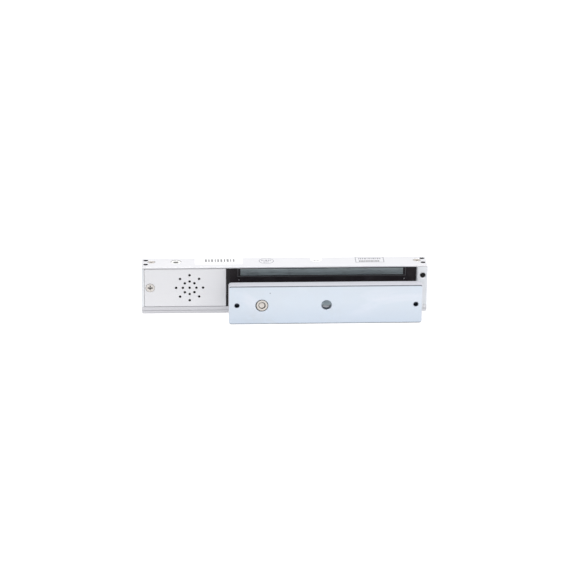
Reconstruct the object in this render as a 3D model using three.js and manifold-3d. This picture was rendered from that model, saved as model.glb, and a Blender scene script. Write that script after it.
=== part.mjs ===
// Magnetic door lock: an electromagnet body and the armature plate it holds.
// Millimetres. The lock stands on its bottom lip with its magnet face towards -Y.
// +X runs to the right along the lock, +Y to its mounting side, +Z up.
// The origin is under the middle of the whole object, on the surface it stands on.

import * as THREE from 'three';
import { mergeVertices } from 'three/addons/utils/BufferGeometryUtils.js';
import Module from 'manifold-3d';

const wasm = await Module();
wasm.setup();

// Overall sizes
const BODY_L = 268;
const BODY_H = 46.5;
const BODY_D = 25;
const PLATE_L = 180;
const PLATE_H = 38;
const PLATE_T = 11;

// Rest pose: the armature stands parallel to the magnet face, in front of it
const OPEN_GAP = 16.7;
const PLATE_START_X = 80.7;

// Clearances
const FIT = 0.15;
const SLIP = 0.1;
const SCREW_CLEAR = 0.2;
const SEAT = 0.05;
const OVERRUN = 2;

// Housing extrusion
const TOP_WALL = 1.2;
const BACK_WALL = 2.2;
const LIP_H = 6.8;
const LIP_GROOVE_Z = 3.1;
const LIP_GROOVE_W = 0.6;
const LIP_GROOVE_DEPTH = 0.4;
const EDGE_R_FRONT_TOP = 0.3;
const EDGE_R_BACK_TOP = 2.5;
const EDGE_R_BOTTOM = 1.5;
const END_CORNER_R = 2;

// End blocks
const BLOCK_W = 15.5;
const LEFT_STRIP_W = 2.3;
const RIGHT_FACE_W = 10.8;
const RIGHT_STEP_DEPTH = 3.2;
const BLOCK_BEVEL = 1.2;
const BLOCK_EDGE = 0.5;

// Holes in the top wall, measured from each end and from the front face
const TOP_HOLE_R = 2.3;
const TOP_HOLE_INSET = 3.9;
const TOP_HOLE_FRONT_Y = 8.3;
const TOP_HOLE_BACK_Y = 18.6;
const TOP_HOLE_DEPTH = 5;
const TOP_SCREW_INSET = 9.2;
const TOP_SCREW_Y = 14.3;
const WIRE_HOLE_X = 32.2;
const WIRE_HOLE_Y = 14;
const WIRE_HOLE_R = 5;

// Fixing bores through the lock, front to back
const FIX_BORE_R = 2.55;
const FIX_BORE_BEVEL = 0.5;
const FIX_BORE_INSET_RIGHT = 4.6;
const FIX_BORE_INSET_LEFT = 19.6;
const FIX_BORE_Z = 36.4;

// Countersunk screws
const TOP_SCREW = { headR: 3.3, shankR: 1.6, coneDepth: 1.7, rim: 0.2, length: 8, cross: 3.6 };
const COVER_SCREW = { headR: 4.05, shankR: 2, coneDepth: 2, rim: 0.3, length: 11, cross: 4.4 };
const CROSS_W = 1;
const CROSS_DEPTH = 1.1;
const HEAD_SINK = 0.1;

// Cover over the control board
const COVER_L = 76.4;
const COVER_T = 1.5;
const COVER_RECESS = 0.35;
const COVER_GAP = 0.2;
const COVER_GAP_TOP = 0.6;
const COVER_BEVEL = 0.5;
const COVER_SCREW_X = 8;
const TONGUE_L = 1.5;
const TONGUE_T = 0.7;
const TONGUE_HALF_H = 8;
const GRILLE_X = 44.8;
const GRILLE_HOLE_R = 1;
const GRILLE_RING_R = [6.35, 12.6];
const GRILLE_RING_HOLES = 8;

// Divider between the board and the magnet
const DIVIDER_T = 3;
const DIVIDER_RECESS = 0.5;
const LEDGE_W = 2.8;
const LEDGE_T = 2.1;

// Potting resin and magnet core
const RESIN_RECESS = 0.4;
const RESIN_END_GAP = 0.2;
const RESIN_SKIN = 0.1;
const CORE_MARGIN_LEFT = 10.2;
const CORE_MARGIN_RIGHT = 12.6;
const CORE_GAP_TOP = 1;
const CORE_GAP_BOTTOM = 0.3;
const CORE_BACK_GAP = 2.8;
const CORE_WEB = 6.5;
const OUTER_POLE_H = 6.4;
const SLOT_H = 8.2;
const POLE_BORDER_SIDE = 2.6;
const POLE_BORDER_EDGE = 1.4;
const POLE_BORDER_DEPTH = 0.25;

// Bobbin and winding
const BOBBIN_WALL = 0.8;
const BOBBIN_RECESS = 2;
const WINDING_REACH = 5.2;
const FLANGE_PROUD = 0.45;
const WINDING_CORNER_R = 4;
const TAP_PIN_R = 0.45;
const TAP_PIN_OFFSET = 1.3;
const TAP_PIN_L = 1.5;
const TAP_PIN_Z = 33.2;

// Control board and its mounting
const BOARD_T = 1.6;
const BOARD_MARGIN_LEFT = 8.5;
const BOARD_MARGIN_RIGHT = 2.1;
const BOARD_MARGIN_BOTTOM = 2.2;
const BOARD_MARGIN_TOP = 4.3;
const STANDOFF_L = 3.6;
const STANDOFF_R = 2.5;
const STANDOFF_BORE_R = 1.3;
const BOARD_HOLE_INSET = 3;
const BOARD_SCREW_R = 1.1;
const BOARD_SCREW_HEAD_R = 2.2;
const BOARD_SCREW_HEAD_T = 1.4;

// Parts on the control board: x is from the board's left edge, z from the cover's middle
const BUZZER_R = 10.5;
const BUZZER_H = 9.6;
const BUZZER_PORT_R = 1.2;
const TERMINAL = { x: 0.6, z: -10.95, w: 8.4, h: 20.4, d: 10 };
const TERMINAL_WAYS = 4;
const TERMINAL_SCREW_R = 1.5;
const TERMINAL_SCREW_L = 2;
const TERMINAL_ENTRY = { half: 1.3, depth: 4.5, drop: 6.5 };
const RELAY = { x: 40.6, z: -10.25, w: 10.4, h: 15.4, d: 11.6 };
const CAPACITOR = { x: 38, z: 10.55, r: 4, h: 12 };
const VARISTOR = { x: 43.3, z: 10.25, r: 3.7, t: 3 };
const DIODE = { x: 36.5, z: -13.65, bodyR: 1.3, bodyL: 5, leadR: 0.4, span: 9, lift: 1.6 };
const SENSOR = { x: 20, z: 13.05, bodyR: 1.1, bodyL: 13, leadR: 0.3, span: 18, lift: 1.5 };
const HEADER = { x: 13.5, z: -15.15, pitch: 2.54, pins: 3, pinHalf: 0.32, pinL: 6, base: 2.5 };
const CHIP = { x: 24, z: -15.45, w: 5, h: 3.9, d: 1.5, legs: 4, pitch: 1.27, leg: 0.4, foot: 1 };
const LEAD_R = 0.55;
const LEAD_X = 73;
const LEAD_DEPTH = 9;
const LEAD_OFFSETS_Z = [6.9, 8.7];
const LEAD_TUNNEL_CLEAR = 0.3;

// Wire grommet
const GROMMET_BORE_R = 3.1;
const GROMMET_SINK = 0.2;
const GROMMET_BARB = 0.5;
const GROMMET_H = 4.6;
const GROMMET_KEY_R = 0.55;
const GROMMET_KEY_OFFSET = 4;
const GROMMET_KEY_DEPTH = 1.5;

// Stickers on the top wall
const STICKER_T = 0.12;
const LABEL = { x0: 50, x1: 94.6, y0: 7.2, y1: 22.2 };
const SEAL = { x: 164, y: 17, r: 5.5 };

// Armature plate
const PLATE_CORNER_R = 2.5;
const PLATE_BEVEL = 0.9;
const BOLT_HOLE_X = 90.8;
const HOLE_LINE_Z = 18.7;
const BOLT_HOLE_R = 4.6;
const BOLT_BORE_R = 7.8;
const BOLT_BORE_DEPTH = 5;
const GUIDE_HOLE_R = 2.2;
const GUIDE_HOLE_REACH = 83.2;
const GUIDE_HOLE_DEPTH = 8;

// Spring-loaded release pin in the armature
const PIN_X = 30.7;
const PIN_R = 2.7;
const PIN_EDGE = 0.3;
const PIN_TAIL_SINK = 0.4;
const PIN_REACH = 1.8;
const COLLAR_R = 4.8;
const COLLAR_T = 1.2;
const POCKET_R = 5.65;
const POCKET_DEPTH = 8.2;
const BUSHING_SINK = 1;
const BUSHING_T = 2.4;
const BUSHING_EDGE = 0.35;
const SPANNER_HOLE_R = 0.6;
const SPRING_R = 3.9;
const SPRING_WIRE_R = 0.35;
const SPRING_TURNS = 2.5;

// Facets on round shapes
const FACETS_LARGE = 36;
const FACETS_MEDIUM = 24;
const FACETS_SMALL = 12;
const CORNER_FACETS = 4;

// Derived positions of the lock body: x from its left end, y from its front face
const TOTAL_D = BODY_D + OPEN_GAP + PLATE_T;
const CAVITY_TOP = BODY_H - TOP_WALL;
const CAVITY_BACK = BODY_D - BACK_WALL;
const BLOCK_Z = [LIP_H + FIT, CAVITY_TOP - FIT];
const BLOCK_BACK = CAVITY_BACK - FIT;
const COVER_X = [LEFT_STRIP_W + COVER_GAP, LEFT_STRIP_W + COVER_GAP + COVER_L];
const COVER_Z = [LIP_H + COVER_GAP, CAVITY_TOP - COVER_GAP_TOP];
const COVER_MID_Z = (COVER_Z[0] + COVER_Z[1]) / 2;
const COVER_BACK = COVER_RECESS + COVER_T;
const DIVIDER_X = [COVER_X[1] + COVER_GAP, COVER_X[1] + COVER_GAP + DIVIDER_T];
const RIGHT_FACE_X = BODY_L - RIGHT_FACE_W;
const CORE_X = [DIVIDER_X[1] + CORE_MARGIN_LEFT, RIGHT_FACE_X - CORE_MARGIN_RIGHT];
const CORE_Z = [LIP_H + CORE_GAP_BOTTOM, CAVITY_TOP - CORE_GAP_TOP];
const CORE_MID_Z = (CORE_Z[0] + CORE_Z[1]) / 2;
const CORE_BACK = CAVITY_BACK - CORE_BACK_GAP;
const CORE_SLOT_BACK = CORE_BACK - CORE_WEB;
const CENTRE_POLE_HALF = (CORE_Z[1] - CORE_Z[0]) / 2 - OUTER_POLE_H - SLOT_H;
const BOARD_X = [BLOCK_W + BOARD_MARGIN_LEFT, DIVIDER_X[0] - BOARD_MARGIN_RIGHT];
const BOARD_Z = [LIP_H + BOARD_MARGIN_BOTTOM, CAVITY_TOP - BOARD_MARGIN_TOP];
const BOARD_FACE = CAVITY_BACK - STANDOFF_L - BOARD_T;
const LEAD_END_X = CORE_X[0] - WINDING_REACH - SEAT;

const FINISH = {
  anodised: { color: 0xd9dade, roughness: 0.42, metalness: 0.85 },
  castBlock: { color: 0xd4d5da, roughness: 0.5, metalness: 0.8 },
  nickel: { color: 0xd9d2c8, roughness: 0.3, metalness: 0.95 },
  zincPlate: { color: 0xdfe7f2, roughness: 0.45, metalness: 0.75 },
  blackPlastic: { color: 0x1c1a1c, roughness: 0.55, metalness: 0 },
  resin: { color: 0x262124, roughness: 0.4, metalness: 0 },
  coreSteel: { color: 0x7d8487, roughness: 0.45, metalness: 0.9 },
  copper: { color: 0xb4602e, roughness: 0.35, metalness: 0.9 },
  whiteNylon: { color: 0xf1f0ee, roughness: 0.5, metalness: 0 },
  paper: { color: 0xfafafa, roughness: 0.7, metalness: 0 },
  boardGreen: { color: 0x1d5a33, roughness: 0.45, metalness: 0 },
  terminalGreen: { color: 0x2c8a4a, roughness: 0.5, metalness: 0 },
  relayBlue: { color: 0x1f4f9c, roughness: 0.4, metalness: 0 },
  canAluminium: { color: 0xb9bcc2, roughness: 0.35, metalness: 0.8 },
  varistorBlue: { color: 0x2a6fb5, roughness: 0.45, metalness: 0 },
  tinned: { color: 0xc9cbcd, roughness: 0.3, metalness: 0.9 },
  brass: { color: 0xc6a35a, roughness: 0.35, metalness: 0.9 },
  glass: { color: 0xcfd8d6, roughness: 0.1, metalness: 0 },
  leadRed: { color: 0xb3201f, roughness: 0.5, metalness: 0 },
  leadBlack: { color: 0x1a1a1a, roughness: 0.5, metalness: 0 },
  springSteel: { color: 0xaeb2b6, roughness: 0.3, metalness: 0.95 },
};

// Turns a closed three.js geometry into a solid that can be joined and cut.
function solid(geometry) {
  geometry.deleteAttribute('normal');
  geometry.deleteAttribute('uv');
  const merged = mergeVertices(geometry, 1e-5);
  const source = merged.index.array;
  const triVerts = [];
  for (let i = 0; i < source.length; i += 3) {
    const [a, b, c] = [source[i], source[i + 1], source[i + 2]];
    if (a !== b && b !== c && c !== a) {
      triVerts.push(a, b, c);
    }
  }
  const vertProperties = new Float32Array(merged.attributes.position.array);
  const build = (triangles) => new wasm.Manifold(
    new wasm.Mesh({ numProp: 3, vertProperties, triVerts: new Uint32Array(triangles) }),
  );
  const body = build(triVerts);
  if (body.volume() > 0) {
    return body;
  }
  return build(triVerts.reverse());
}

function join(pieces) {
  return pieces.reduce((whole, piece) => whole.add(piece));
}

function cut(body, tools) {
  return tools.reduce((rest, tool) => rest.subtract(tool), body);
}

function boxGeometry(x, y, z) {
  const geometry = new THREE.BoxGeometry(x[1] - x[0], y[1] - y[0], z[1] - z[0]);
  return geometry.translate((x[0] + x[1]) / 2, (y[0] + y[1]) / 2, (z[0] + z[1]) / 2);
}

function block(x, y, z) {
  return solid(boxGeometry(x, y, z));
}

function boxAround(centre, halves) {
  const spans = centre.map((value, i) => [value - halves[i], value + halves[i]]);
  return block(...spans);
}

// A round bar between two points.
function bar(radius, from, to, facets = FACETS_SMALL) {
  const start = new THREE.Vector3(...from);
  const end = new THREE.Vector3(...to);
  const along = end.clone().sub(start);
  const geometry = new THREE.CylinderGeometry(radius, radius, along.length(), facets);
  const turn = new THREE.Quaternion().setFromUnitVectors(
    new THREE.Vector3(0, 1, 0),
    along.clone().normalize(),
  );
  geometry.applyQuaternion(turn);
  const middle = start.add(end).multiplyScalar(0.5);
  return solid(geometry.translate(middle.x, middle.y, middle.z));
}

function cone(radiusA, radiusB, from, to, facets = FACETS_MEDIUM) {
  const start = new THREE.Vector3(...from);
  const end = new THREE.Vector3(...to);
  const along = end.clone().sub(start);
  const geometry = new THREE.CylinderGeometry(radiusB, radiusA, along.length(), facets);
  const turn = new THREE.Quaternion().setFromUnitVectors(
    new THREE.Vector3(0, 1, 0),
    along.clone().normalize(),
  );
  geometry.applyQuaternion(turn);
  const middle = start.add(end).multiplyScalar(0.5);
  return solid(geometry.translate(middle.x, middle.y, middle.z));
}

function ball(radius, centre) {
  const geometry = new THREE.SphereGeometry(radius, FACETS_SMALL, FACETS_SMALL / 2);
  return solid(geometry.translate(...centre));
}

// A profile of [radius, y] points turned about the Y axis.
function turned(profile, facets = FACETS_MEDIUM) {
  const points = profile.map(([radius, y]) => new THREE.Vector2(radius, y));
  return new THREE.LatheGeometry(points, facets);
}

function outline(points) {
  return new THREE.Shape(points.map(([u, v]) => new THREE.Vector2(u, v)));
}

// Corner radii run from the low-low corner anticlockwise.
function roundedOutline(u, v, radii) {
  const [r0, r1, r2, r3] = Array.isArray(radii) ? radii : [radii, radii, radii, radii];
  const shape = new THREE.Shape();
  shape.absarc(u[0] + r0, v[0] + r0, r0, Math.PI, 1.5 * Math.PI);
  shape.absarc(u[1] - r1, v[0] + r1, r1, 1.5 * Math.PI, 2 * Math.PI);
  shape.absarc(u[1] - r2, v[1] - r2, r2, 0, 0.5 * Math.PI);
  shape.absarc(u[0] + r3, v[1] - r3, r3, 0.5 * Math.PI, Math.PI);
  return shape;
}

function extrusion(shape, span, bevel) {
  const geometry = new THREE.ExtrudeGeometry(shape, {
    depth: span[1] - span[0] - 2 * bevel,
    curveSegments: CORNER_FACETS,
    bevelEnabled: bevel > 0,
    bevelThickness: bevel,
    bevelSize: bevel,
    bevelOffset: -bevel,
    bevelSegments: 1,
  });
  return geometry.translate(0, 0, bevel);
}

// Extrudes a (y, z) outline along X.
function prismX(shape, x) {
  const geometry = extrusion(shape, x, 0);
  geometry.rotateX(Math.PI / 2);
  geometry.rotateZ(Math.PI / 2);
  return solid(geometry.translate(x[0], 0, 0));
}

// Extrudes an (x, z) outline along Y.
function prismY(shape, y, bevel = 0) {
  const geometry = extrusion(shape, y, bevel);
  geometry.rotateX(Math.PI / 2);
  return solid(geometry.translate(0, y[1], 0));
}

// Extrudes an (x, y) outline along Z.
function prismZ(shape, z) {
  return solid(extrusion(shape, z, 0).translate(0, 0, z[0]));
}

function addPiece(group, name, body, finish, position = [0, 0, 0]) {
  const { vertProperties, triVerts } = body.getMesh();
  const geometry = new THREE.BufferGeometry();
  geometry.setAttribute('position', new THREE.BufferAttribute(vertProperties, 3));
  geometry.setIndex(new THREE.BufferAttribute(triVerts, 1));
  geometry.computeVertexNormals();
  const mesh = new THREE.Mesh(geometry, new THREE.MeshStandardMaterial(finish));
  mesh.name = name;
  mesh.position.set(...position);
  group.add(mesh);
  return mesh;
}

// A countersunk screw: head flush at y = 0, shank along +Y, grown by `clear` as a cutter.
function countersunkProfile(screw, clear = 0, length = screw.length) {
  const coneEnd = screw.rim + screw.coneDepth + clear;
  return [
    [0, clear > 0 ? -OVERRUN : 0],
    [screw.headR + clear, clear > 0 ? -OVERRUN : 0],
    [screw.headR + clear, screw.rim + clear],
    [screw.shankR + clear, coneEnd],
    [screw.shankR + clear, length + clear],
    [0, length + clear],
  ];
}

function countersunkScrew(screw) {
  const half = screw.cross / 2;
  return cut(solid(turned(countersunkProfile(screw))), [
    block([-half, half], [-OVERRUN, CROSS_DEPTH], [-CROSS_W / 2, CROSS_W / 2]),
    block([-CROSS_W / 2, CROSS_W / 2], [-OVERRUN, CROSS_DEPTH], [-half, half]),
  ]);
}

function countersink(screw, place, downwards) {
  const geometry = turned(countersunkProfile(screw, SCREW_CLEAR));
  if (downwards) {
    geometry.rotateX(-Math.PI / 2);
  }
  return solid(geometry.translate(...place));
}

const lock = new THREE.Group();
lock.name = 'magnetic_door_lock';
const lockBody = new THREE.Group();
lockBody.position.set(-BODY_L / 2, TOTAL_D / 2 - BODY_D, 0);
lock.add(lockBody);

// Fastener and hole positions shared by the pieces they pass through
const topScrewSpots = [
  [TOP_SCREW_INSET, TOP_SCREW_Y, BODY_H - HEAD_SINK],
  [BODY_L - TOP_SCREW_INSET, TOP_SCREW_Y, BODY_H - HEAD_SINK],
];
const coverScrewSpot = [COVER_SCREW_X, COVER_RECESS + HEAD_SINK, COVER_MID_Z];
const topHoles = [];
for (const x of [TOP_HOLE_INSET, BODY_L - TOP_HOLE_INSET]) {
  for (const y of [TOP_HOLE_FRONT_Y, TOP_HOLE_BACK_Y]) {
    const bottom = CAVITY_TOP - TOP_HOLE_DEPTH;
    topHoles.push(bar(TOP_HOLE_R, [x, y, bottom], [x, y, BODY_H + OVERRUN], FACETS_MEDIUM));
  }
}
const rightBoreX = BODY_L - FIX_BORE_INSET_RIGHT;
const fixingBores = [FIX_BORE_INSET_LEFT, rightBoreX].map((x) => bar(
  FIX_BORE_R,
  [x, -OVERRUN, FIX_BORE_Z],
  [x, BODY_D + OVERRUN, FIX_BORE_Z],
  FACETS_MEDIUM,
));

// Housing: an aluminium channel, open to the front, with a grooved lip under it
const channel = cut(
  prismX(
    roundedOutline(
      [0, BODY_D],
      [0, BODY_H],
      [EDGE_R_BOTTOM, EDGE_R_BOTTOM, EDGE_R_BACK_TOP, EDGE_R_FRONT_TOP],
    ),
    [0, BODY_L],
  ),
  [
    block([-OVERRUN, BODY_L + OVERRUN], [-OVERRUN, CAVITY_BACK], [LIP_H, CAVITY_TOP]),
    block(
      [-OVERRUN, BODY_L + OVERRUN],
      [-OVERRUN, LIP_GROOVE_DEPTH],
      [LIP_GROOVE_Z, LIP_GROOVE_Z + LIP_GROOVE_W],
    ),
    bar(
      WIRE_HOLE_R,
      [WIRE_HOLE_X, WIRE_HOLE_Y, CAVITY_TOP - OVERRUN],
      [WIRE_HOLE_X, WIRE_HOLE_Y, BODY_H + OVERRUN],
      FACETS_MEDIUM,
    ),
    ...topHoles,
    ...fixingBores,
    ...topScrewSpots.map((spot) => countersink(TOP_SCREW, spot, true)),
  ],
);
const endRounding = prismY(
  roundedOutline([0, BODY_L], [0, BODY_H], END_CORNER_R),
  [-OVERRUN, BODY_D + OVERRUN],
);
addPiece(lockBody, 'housing', channel.intersect(endRounding), FINISH.anodised);

// End blocks close the channel and carry the screws
const leftBlock = cut(
  prismZ(
    outline([
      [0, BLOCK_EDGE],
      [BLOCK_EDGE, 0],
      [LEFT_STRIP_W, 0],
      [LEFT_STRIP_W, COVER_BACK],
      [BLOCK_W, COVER_BACK],
      [BLOCK_W, BLOCK_BACK],
      [0, BLOCK_BACK],
    ]),
    BLOCK_Z,
  ),
  [
    ...topHoles,
    countersink(TOP_SCREW, topScrewSpots[0], true),
    countersink(COVER_SCREW, coverScrewSpot, false),
  ],
);
addPiece(lockBody, 'end_block_left', leftBlock, FINISH.castBlock);

const rightBlock = cut(
  prismZ(
    outline([
      [RIGHT_FACE_X + BLOCK_BEVEL, 0],
      [BODY_L - BLOCK_EDGE, 0],
      [BODY_L, BLOCK_EDGE],
      [BODY_L, BLOCK_BACK],
      [BODY_L - BLOCK_W, BLOCK_BACK],
      [BODY_L - BLOCK_W, RIGHT_STEP_DEPTH],
      [RIGHT_FACE_X, RIGHT_STEP_DEPTH],
      [RIGHT_FACE_X, BLOCK_BEVEL],
    ]),
    BLOCK_Z,
  ),
  [
    ...topHoles,
    countersink(TOP_SCREW, topScrewSpots[1], true),
    fixingBores[1],
    cone(
      FIX_BORE_R + FIX_BORE_BEVEL + SEAT,
      FIX_BORE_R,
      [rightBoreX, -SEAT, FIX_BORE_Z],
      [rightBoreX, FIX_BORE_BEVEL, FIX_BORE_Z],
    ),
  ],
);
addPiece(lockBody, 'end_block_right', rightBlock, FINISH.castBlock);

['top_screw_left', 'top_screw_right'].forEach((name, i) => {
  const mesh = addPiece(
    lockBody,
    name,
    countersunkScrew(TOP_SCREW),
    FINISH.nickel,
    topScrewSpots[i],
  );
  mesh.rotation.x = -Math.PI / 2;
});

// Cover with the sounder's grille, held by one screw and a tongue
const grilleHoles = [[GRILLE_X, COVER_MID_Z]];
for (const radius of GRILLE_RING_R) {
  for (let i = 0; i < GRILLE_RING_HOLES; i += 1) {
    const angle = (i * 2 * Math.PI) / GRILLE_RING_HOLES;
    grilleHoles.push([
      GRILLE_X + radius * Math.cos(angle),
      COVER_MID_Z + radius * Math.sin(angle),
    ]);
  }
}
const tongue = block(
  [COVER_X[1] - OVERRUN, COVER_X[1] + TONGUE_L],
  [COVER_BACK - TONGUE_T, COVER_BACK],
  [COVER_MID_Z - TONGUE_HALF_H, COVER_MID_Z + TONGUE_HALF_H],
);
const coverSheet = prismY(
  roundedOutline(COVER_X, COVER_Z, 2 * COVER_BEVEL),
  [COVER_RECESS, COVER_BACK],
  COVER_BEVEL,
);
addPiece(
  lockBody,
  'cover_plate',
  cut(coverSheet.add(tongue), [
    countersink(COVER_SCREW, coverScrewSpot, false),
    ...grilleHoles.map(([x, z]) => bar(GRILLE_HOLE_R, [x, -OVERRUN, z], [x, OVERRUN * 2, z])),
  ]),
  FINISH.anodised,
);
addPiece(
  lockBody,
  'cover_screw',
  countersunkScrew(COVER_SCREW),
  FINISH.nickel,
  coverScrewSpot,
);

// Winding leads: up from the board, then through the divider to the winding
const leadHeights = LEAD_OFFSETS_Z.map((offset) => COVER_MID_Z + offset);
const leadTunnels = leadHeights.map((z) => bar(
  LEAD_R + LEAD_TUNNEL_CLEAR,
  [DIVIDER_X[0] - OVERRUN, LEAD_DEPTH, z],
  [LEAD_END_X, LEAD_DEPTH, z],
));
['winding_lead_a', 'winding_lead_b'].forEach((name, i) => {
  const z = leadHeights[i];
  const corner = [LEAD_X, LEAD_DEPTH, z];
  const lead = join([
    bar(LEAD_R, [LEAD_X, BOARD_FACE, z], corner),
    ball(LEAD_R, corner),
    bar(LEAD_R, corner, [LEAD_END_X, LEAD_DEPTH, z]),
  ]);
  addPiece(lockBody, name, lead, i === 0 ? FINISH.leadRed : FINISH.leadBlack);
});

// Divider: closes the board's bay, carries the cover's far edge and takes its tongue
const divider = cut(
  prismZ(
    outline([
      [DIVIDER_X[0], DIVIDER_RECESS],
      [DIVIDER_X[1], DIVIDER_RECESS],
      [DIVIDER_X[1], BLOCK_BACK],
      [DIVIDER_X[0], BLOCK_BACK],
      [DIVIDER_X[0], COVER_BACK + LEDGE_T],
      [DIVIDER_X[0] - LEDGE_W, COVER_BACK + LEDGE_T],
      [DIVIDER_X[0] - LEDGE_W, COVER_BACK],
      [DIVIDER_X[0], COVER_BACK],
    ]),
    BLOCK_Z,
  ),
  [
    block(
      [DIVIDER_X[0] - SEAT, COVER_X[1] + TONGUE_L + FIT],
      [COVER_BACK - TONGUE_T - FIT, COVER_BACK + FIT],
      [COVER_MID_Z - TONGUE_HALF_H - FIT, COVER_MID_Z + TONGUE_HALF_H + FIT],
    ),
    ...leadTunnels,
  ],
);
addPiece(lockBody, 'divider', divider, FINISH.blackPlastic);

// Magnet core: an E section with its three poles at the front face
function coreOutline(grow) {
  const front = grow > 0 ? -OVERRUN : 0;
  const back = CORE_BACK + grow;
  const slotBack = CORE_SLOT_BACK - grow;
  const low = grow > 0 ? LIP_H - OVERRUN : CORE_Z[0];
  const high = CORE_Z[1] + grow;
  const slots = [-1, 1].map((side) => {
    const inner = CORE_MID_Z + side * (CENTRE_POLE_HALF + grow);
    const outer = CORE_MID_Z + side * (CENTRE_POLE_HALF + SLOT_H - grow);
    return side < 0 ? [outer, inner] : [inner, outer];
  });
  return outline([
    [front, low],
    [back, low],
    [back, high],
    [front, high],
    [front, slots[1][1]],
    [slotBack, slots[1][1]],
    [slotBack, slots[1][0]],
    [front, slots[1][0]],
    [front, slots[0][1]],
    [slotBack, slots[0][1]],
    [slotBack, slots[0][0]],
    [front, slots[0][0]],
  ]);
}
addPiece(lockBody, 'magnet_core', prismX(coreOutline(0), CORE_X), FINISH.coreSteel);

// A frame around the centre pole, between two offsets from its surface
function poleFrame(inner, outer, y, cornerR) {
  const shape = roundedOutline(
    [CORE_X[0] - outer, CORE_X[1] + outer],
    [CORE_MID_Z - CENTRE_POLE_HALF - outer, CORE_MID_Z + CENTRE_POLE_HALF + outer],
    cornerR,
  );
  const frame = prismY(shape, y);
  return inner === null ? frame : frame.subtract(block(
    [CORE_X[0] - inner, CORE_X[1] + inner],
    [y[0] - OVERRUN, y[1] + OVERRUN],
    [CORE_MID_Z - CENTRE_POLE_HALF - inner, CORE_MID_Z + CENTRE_POLE_HALF + inner],
  ));
}
const bobbinY = [BOBBIN_RECESS, CORE_SLOT_BACK - SLIP];
const flangeReach = WINDING_REACH + FLANGE_PROUD;
const tubeReach = FIT + BOBBIN_WALL;
const windingY = [bobbinY[0] + BOBBIN_WALL + SLIP, bobbinY[1] - BOBBIN_WALL - SLIP];
const bobbin = join([
  poleFrame(FIT, tubeReach, bobbinY, BOBBIN_WALL),
  poleFrame(FIT, flangeReach, [bobbinY[0], bobbinY[0] + BOBBIN_WALL], WINDING_CORNER_R),
  poleFrame(FIT, flangeReach, [bobbinY[1] - BOBBIN_WALL, bobbinY[1]], WINDING_CORNER_R),
]);
addPiece(lockBody, 'bobbin', bobbin, FINISH.whiteNylon);
addPiece(
  lockBody,
  'winding',
  poleFrame(tubeReach + SLIP, WINDING_REACH, windingY, WINDING_CORNER_R),
  FINISH.copper,
);

const tapPinSpots = [CORE_X[0] - TAP_PIN_OFFSET, CORE_X[1] + TAP_PIN_OFFSET];
const tapPinY = [BOBBIN_RECESS - SLIP - TAP_PIN_L, BOBBIN_RECESS - SLIP];
['tap_pin_left', 'tap_pin_right'].forEach((name, i) => {
  const pin = bar(TAP_PIN_R, [0, tapPinY[0], 0], [0, tapPinY[1], 0]);
  addPiece(lockBody, name, pin, FINISH.tinned, [tapPinSpots[i], 0, TAP_PIN_Z]);
});

// Potting resin fills the channel around the core and winding
function poleBorder(low, high) {
  return block(
    [CORE_X[0] - POLE_BORDER_SIDE, CORE_X[1] + POLE_BORDER_SIDE],
    [-OVERRUN, RESIN_RECESS + POLE_BORDER_DEPTH],
    [low - POLE_BORDER_EDGE, high + POLE_BORDER_EDGE],
  );
}
const resinX = [DIVIDER_X[1] + RESIN_END_GAP, RIGHT_FACE_X - RESIN_END_GAP];
const resinStepX = BODY_L - BLOCK_W - RESIN_END_GAP;
const resin = cut(
  prismZ(
    outline([
      [resinX[0], RESIN_RECESS],
      [resinX[1], RESIN_RECESS],
      [resinX[1], RIGHT_STEP_DEPTH - RESIN_END_GAP],
      [resinStepX, RIGHT_STEP_DEPTH - RESIN_END_GAP],
      [resinStepX, BLOCK_BACK],
      [resinX[0], BLOCK_BACK],
    ]),
    [LIP_H + RESIN_SKIN, CAVITY_TOP - RESIN_SKIN],
  ),
  [
    prismX(coreOutline(FIT), [CORE_X[0] - FIT, CORE_X[1] + FIT]),
    poleFrame(
      null,
      flangeReach + SLIP,
      [bobbinY[0] - SLIP, bobbinY[1] + SLIP],
      WINDING_CORNER_R,
    ),
    ...tapPinSpots.map((x) => bar(
      TAP_PIN_R + FIT,
      [x, -OVERRUN, TAP_PIN_Z],
      [x, BOBBIN_RECESS + SLIP, TAP_PIN_Z],
    )),
    poleBorder(CORE_Z[1] - OUTER_POLE_H, CORE_Z[1]),
    poleBorder(CORE_MID_Z - CENTRE_POLE_HALF, CORE_MID_Z + CENTRE_POLE_HALF),
    poleBorder(CORE_Z[0], CORE_Z[0] + OUTER_POLE_H),
    ...leadTunnels,
  ],
);
addPiece(lockBody, 'potting_resin', resin, FINISH.resin);

// Control board on four standoffs
const boardHoles = [];
for (const z of [BOARD_Z[0] + BOARD_HOLE_INSET, BOARD_Z[1] - BOARD_HOLE_INSET]) {
  for (const x of [BOARD_X[0] + BOARD_HOLE_INSET, BOARD_X[1] - BOARD_HOLE_INSET]) {
    boardHoles.push([x, z]);
  }
}
const board = cut(
  block(BOARD_X, [BOARD_FACE, BOARD_FACE + BOARD_T], BOARD_Z),
  boardHoles.map(([x, z]) => bar(
    BOARD_SCREW_R + SCREW_CLEAR,
    [x, BOARD_FACE - OVERRUN, z],
    [x, BOARD_FACE + OVERRUN * 2, z],
  )),
);
addPiece(lockBody, 'circuit_board', board, FINISH.boardGreen);

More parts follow.
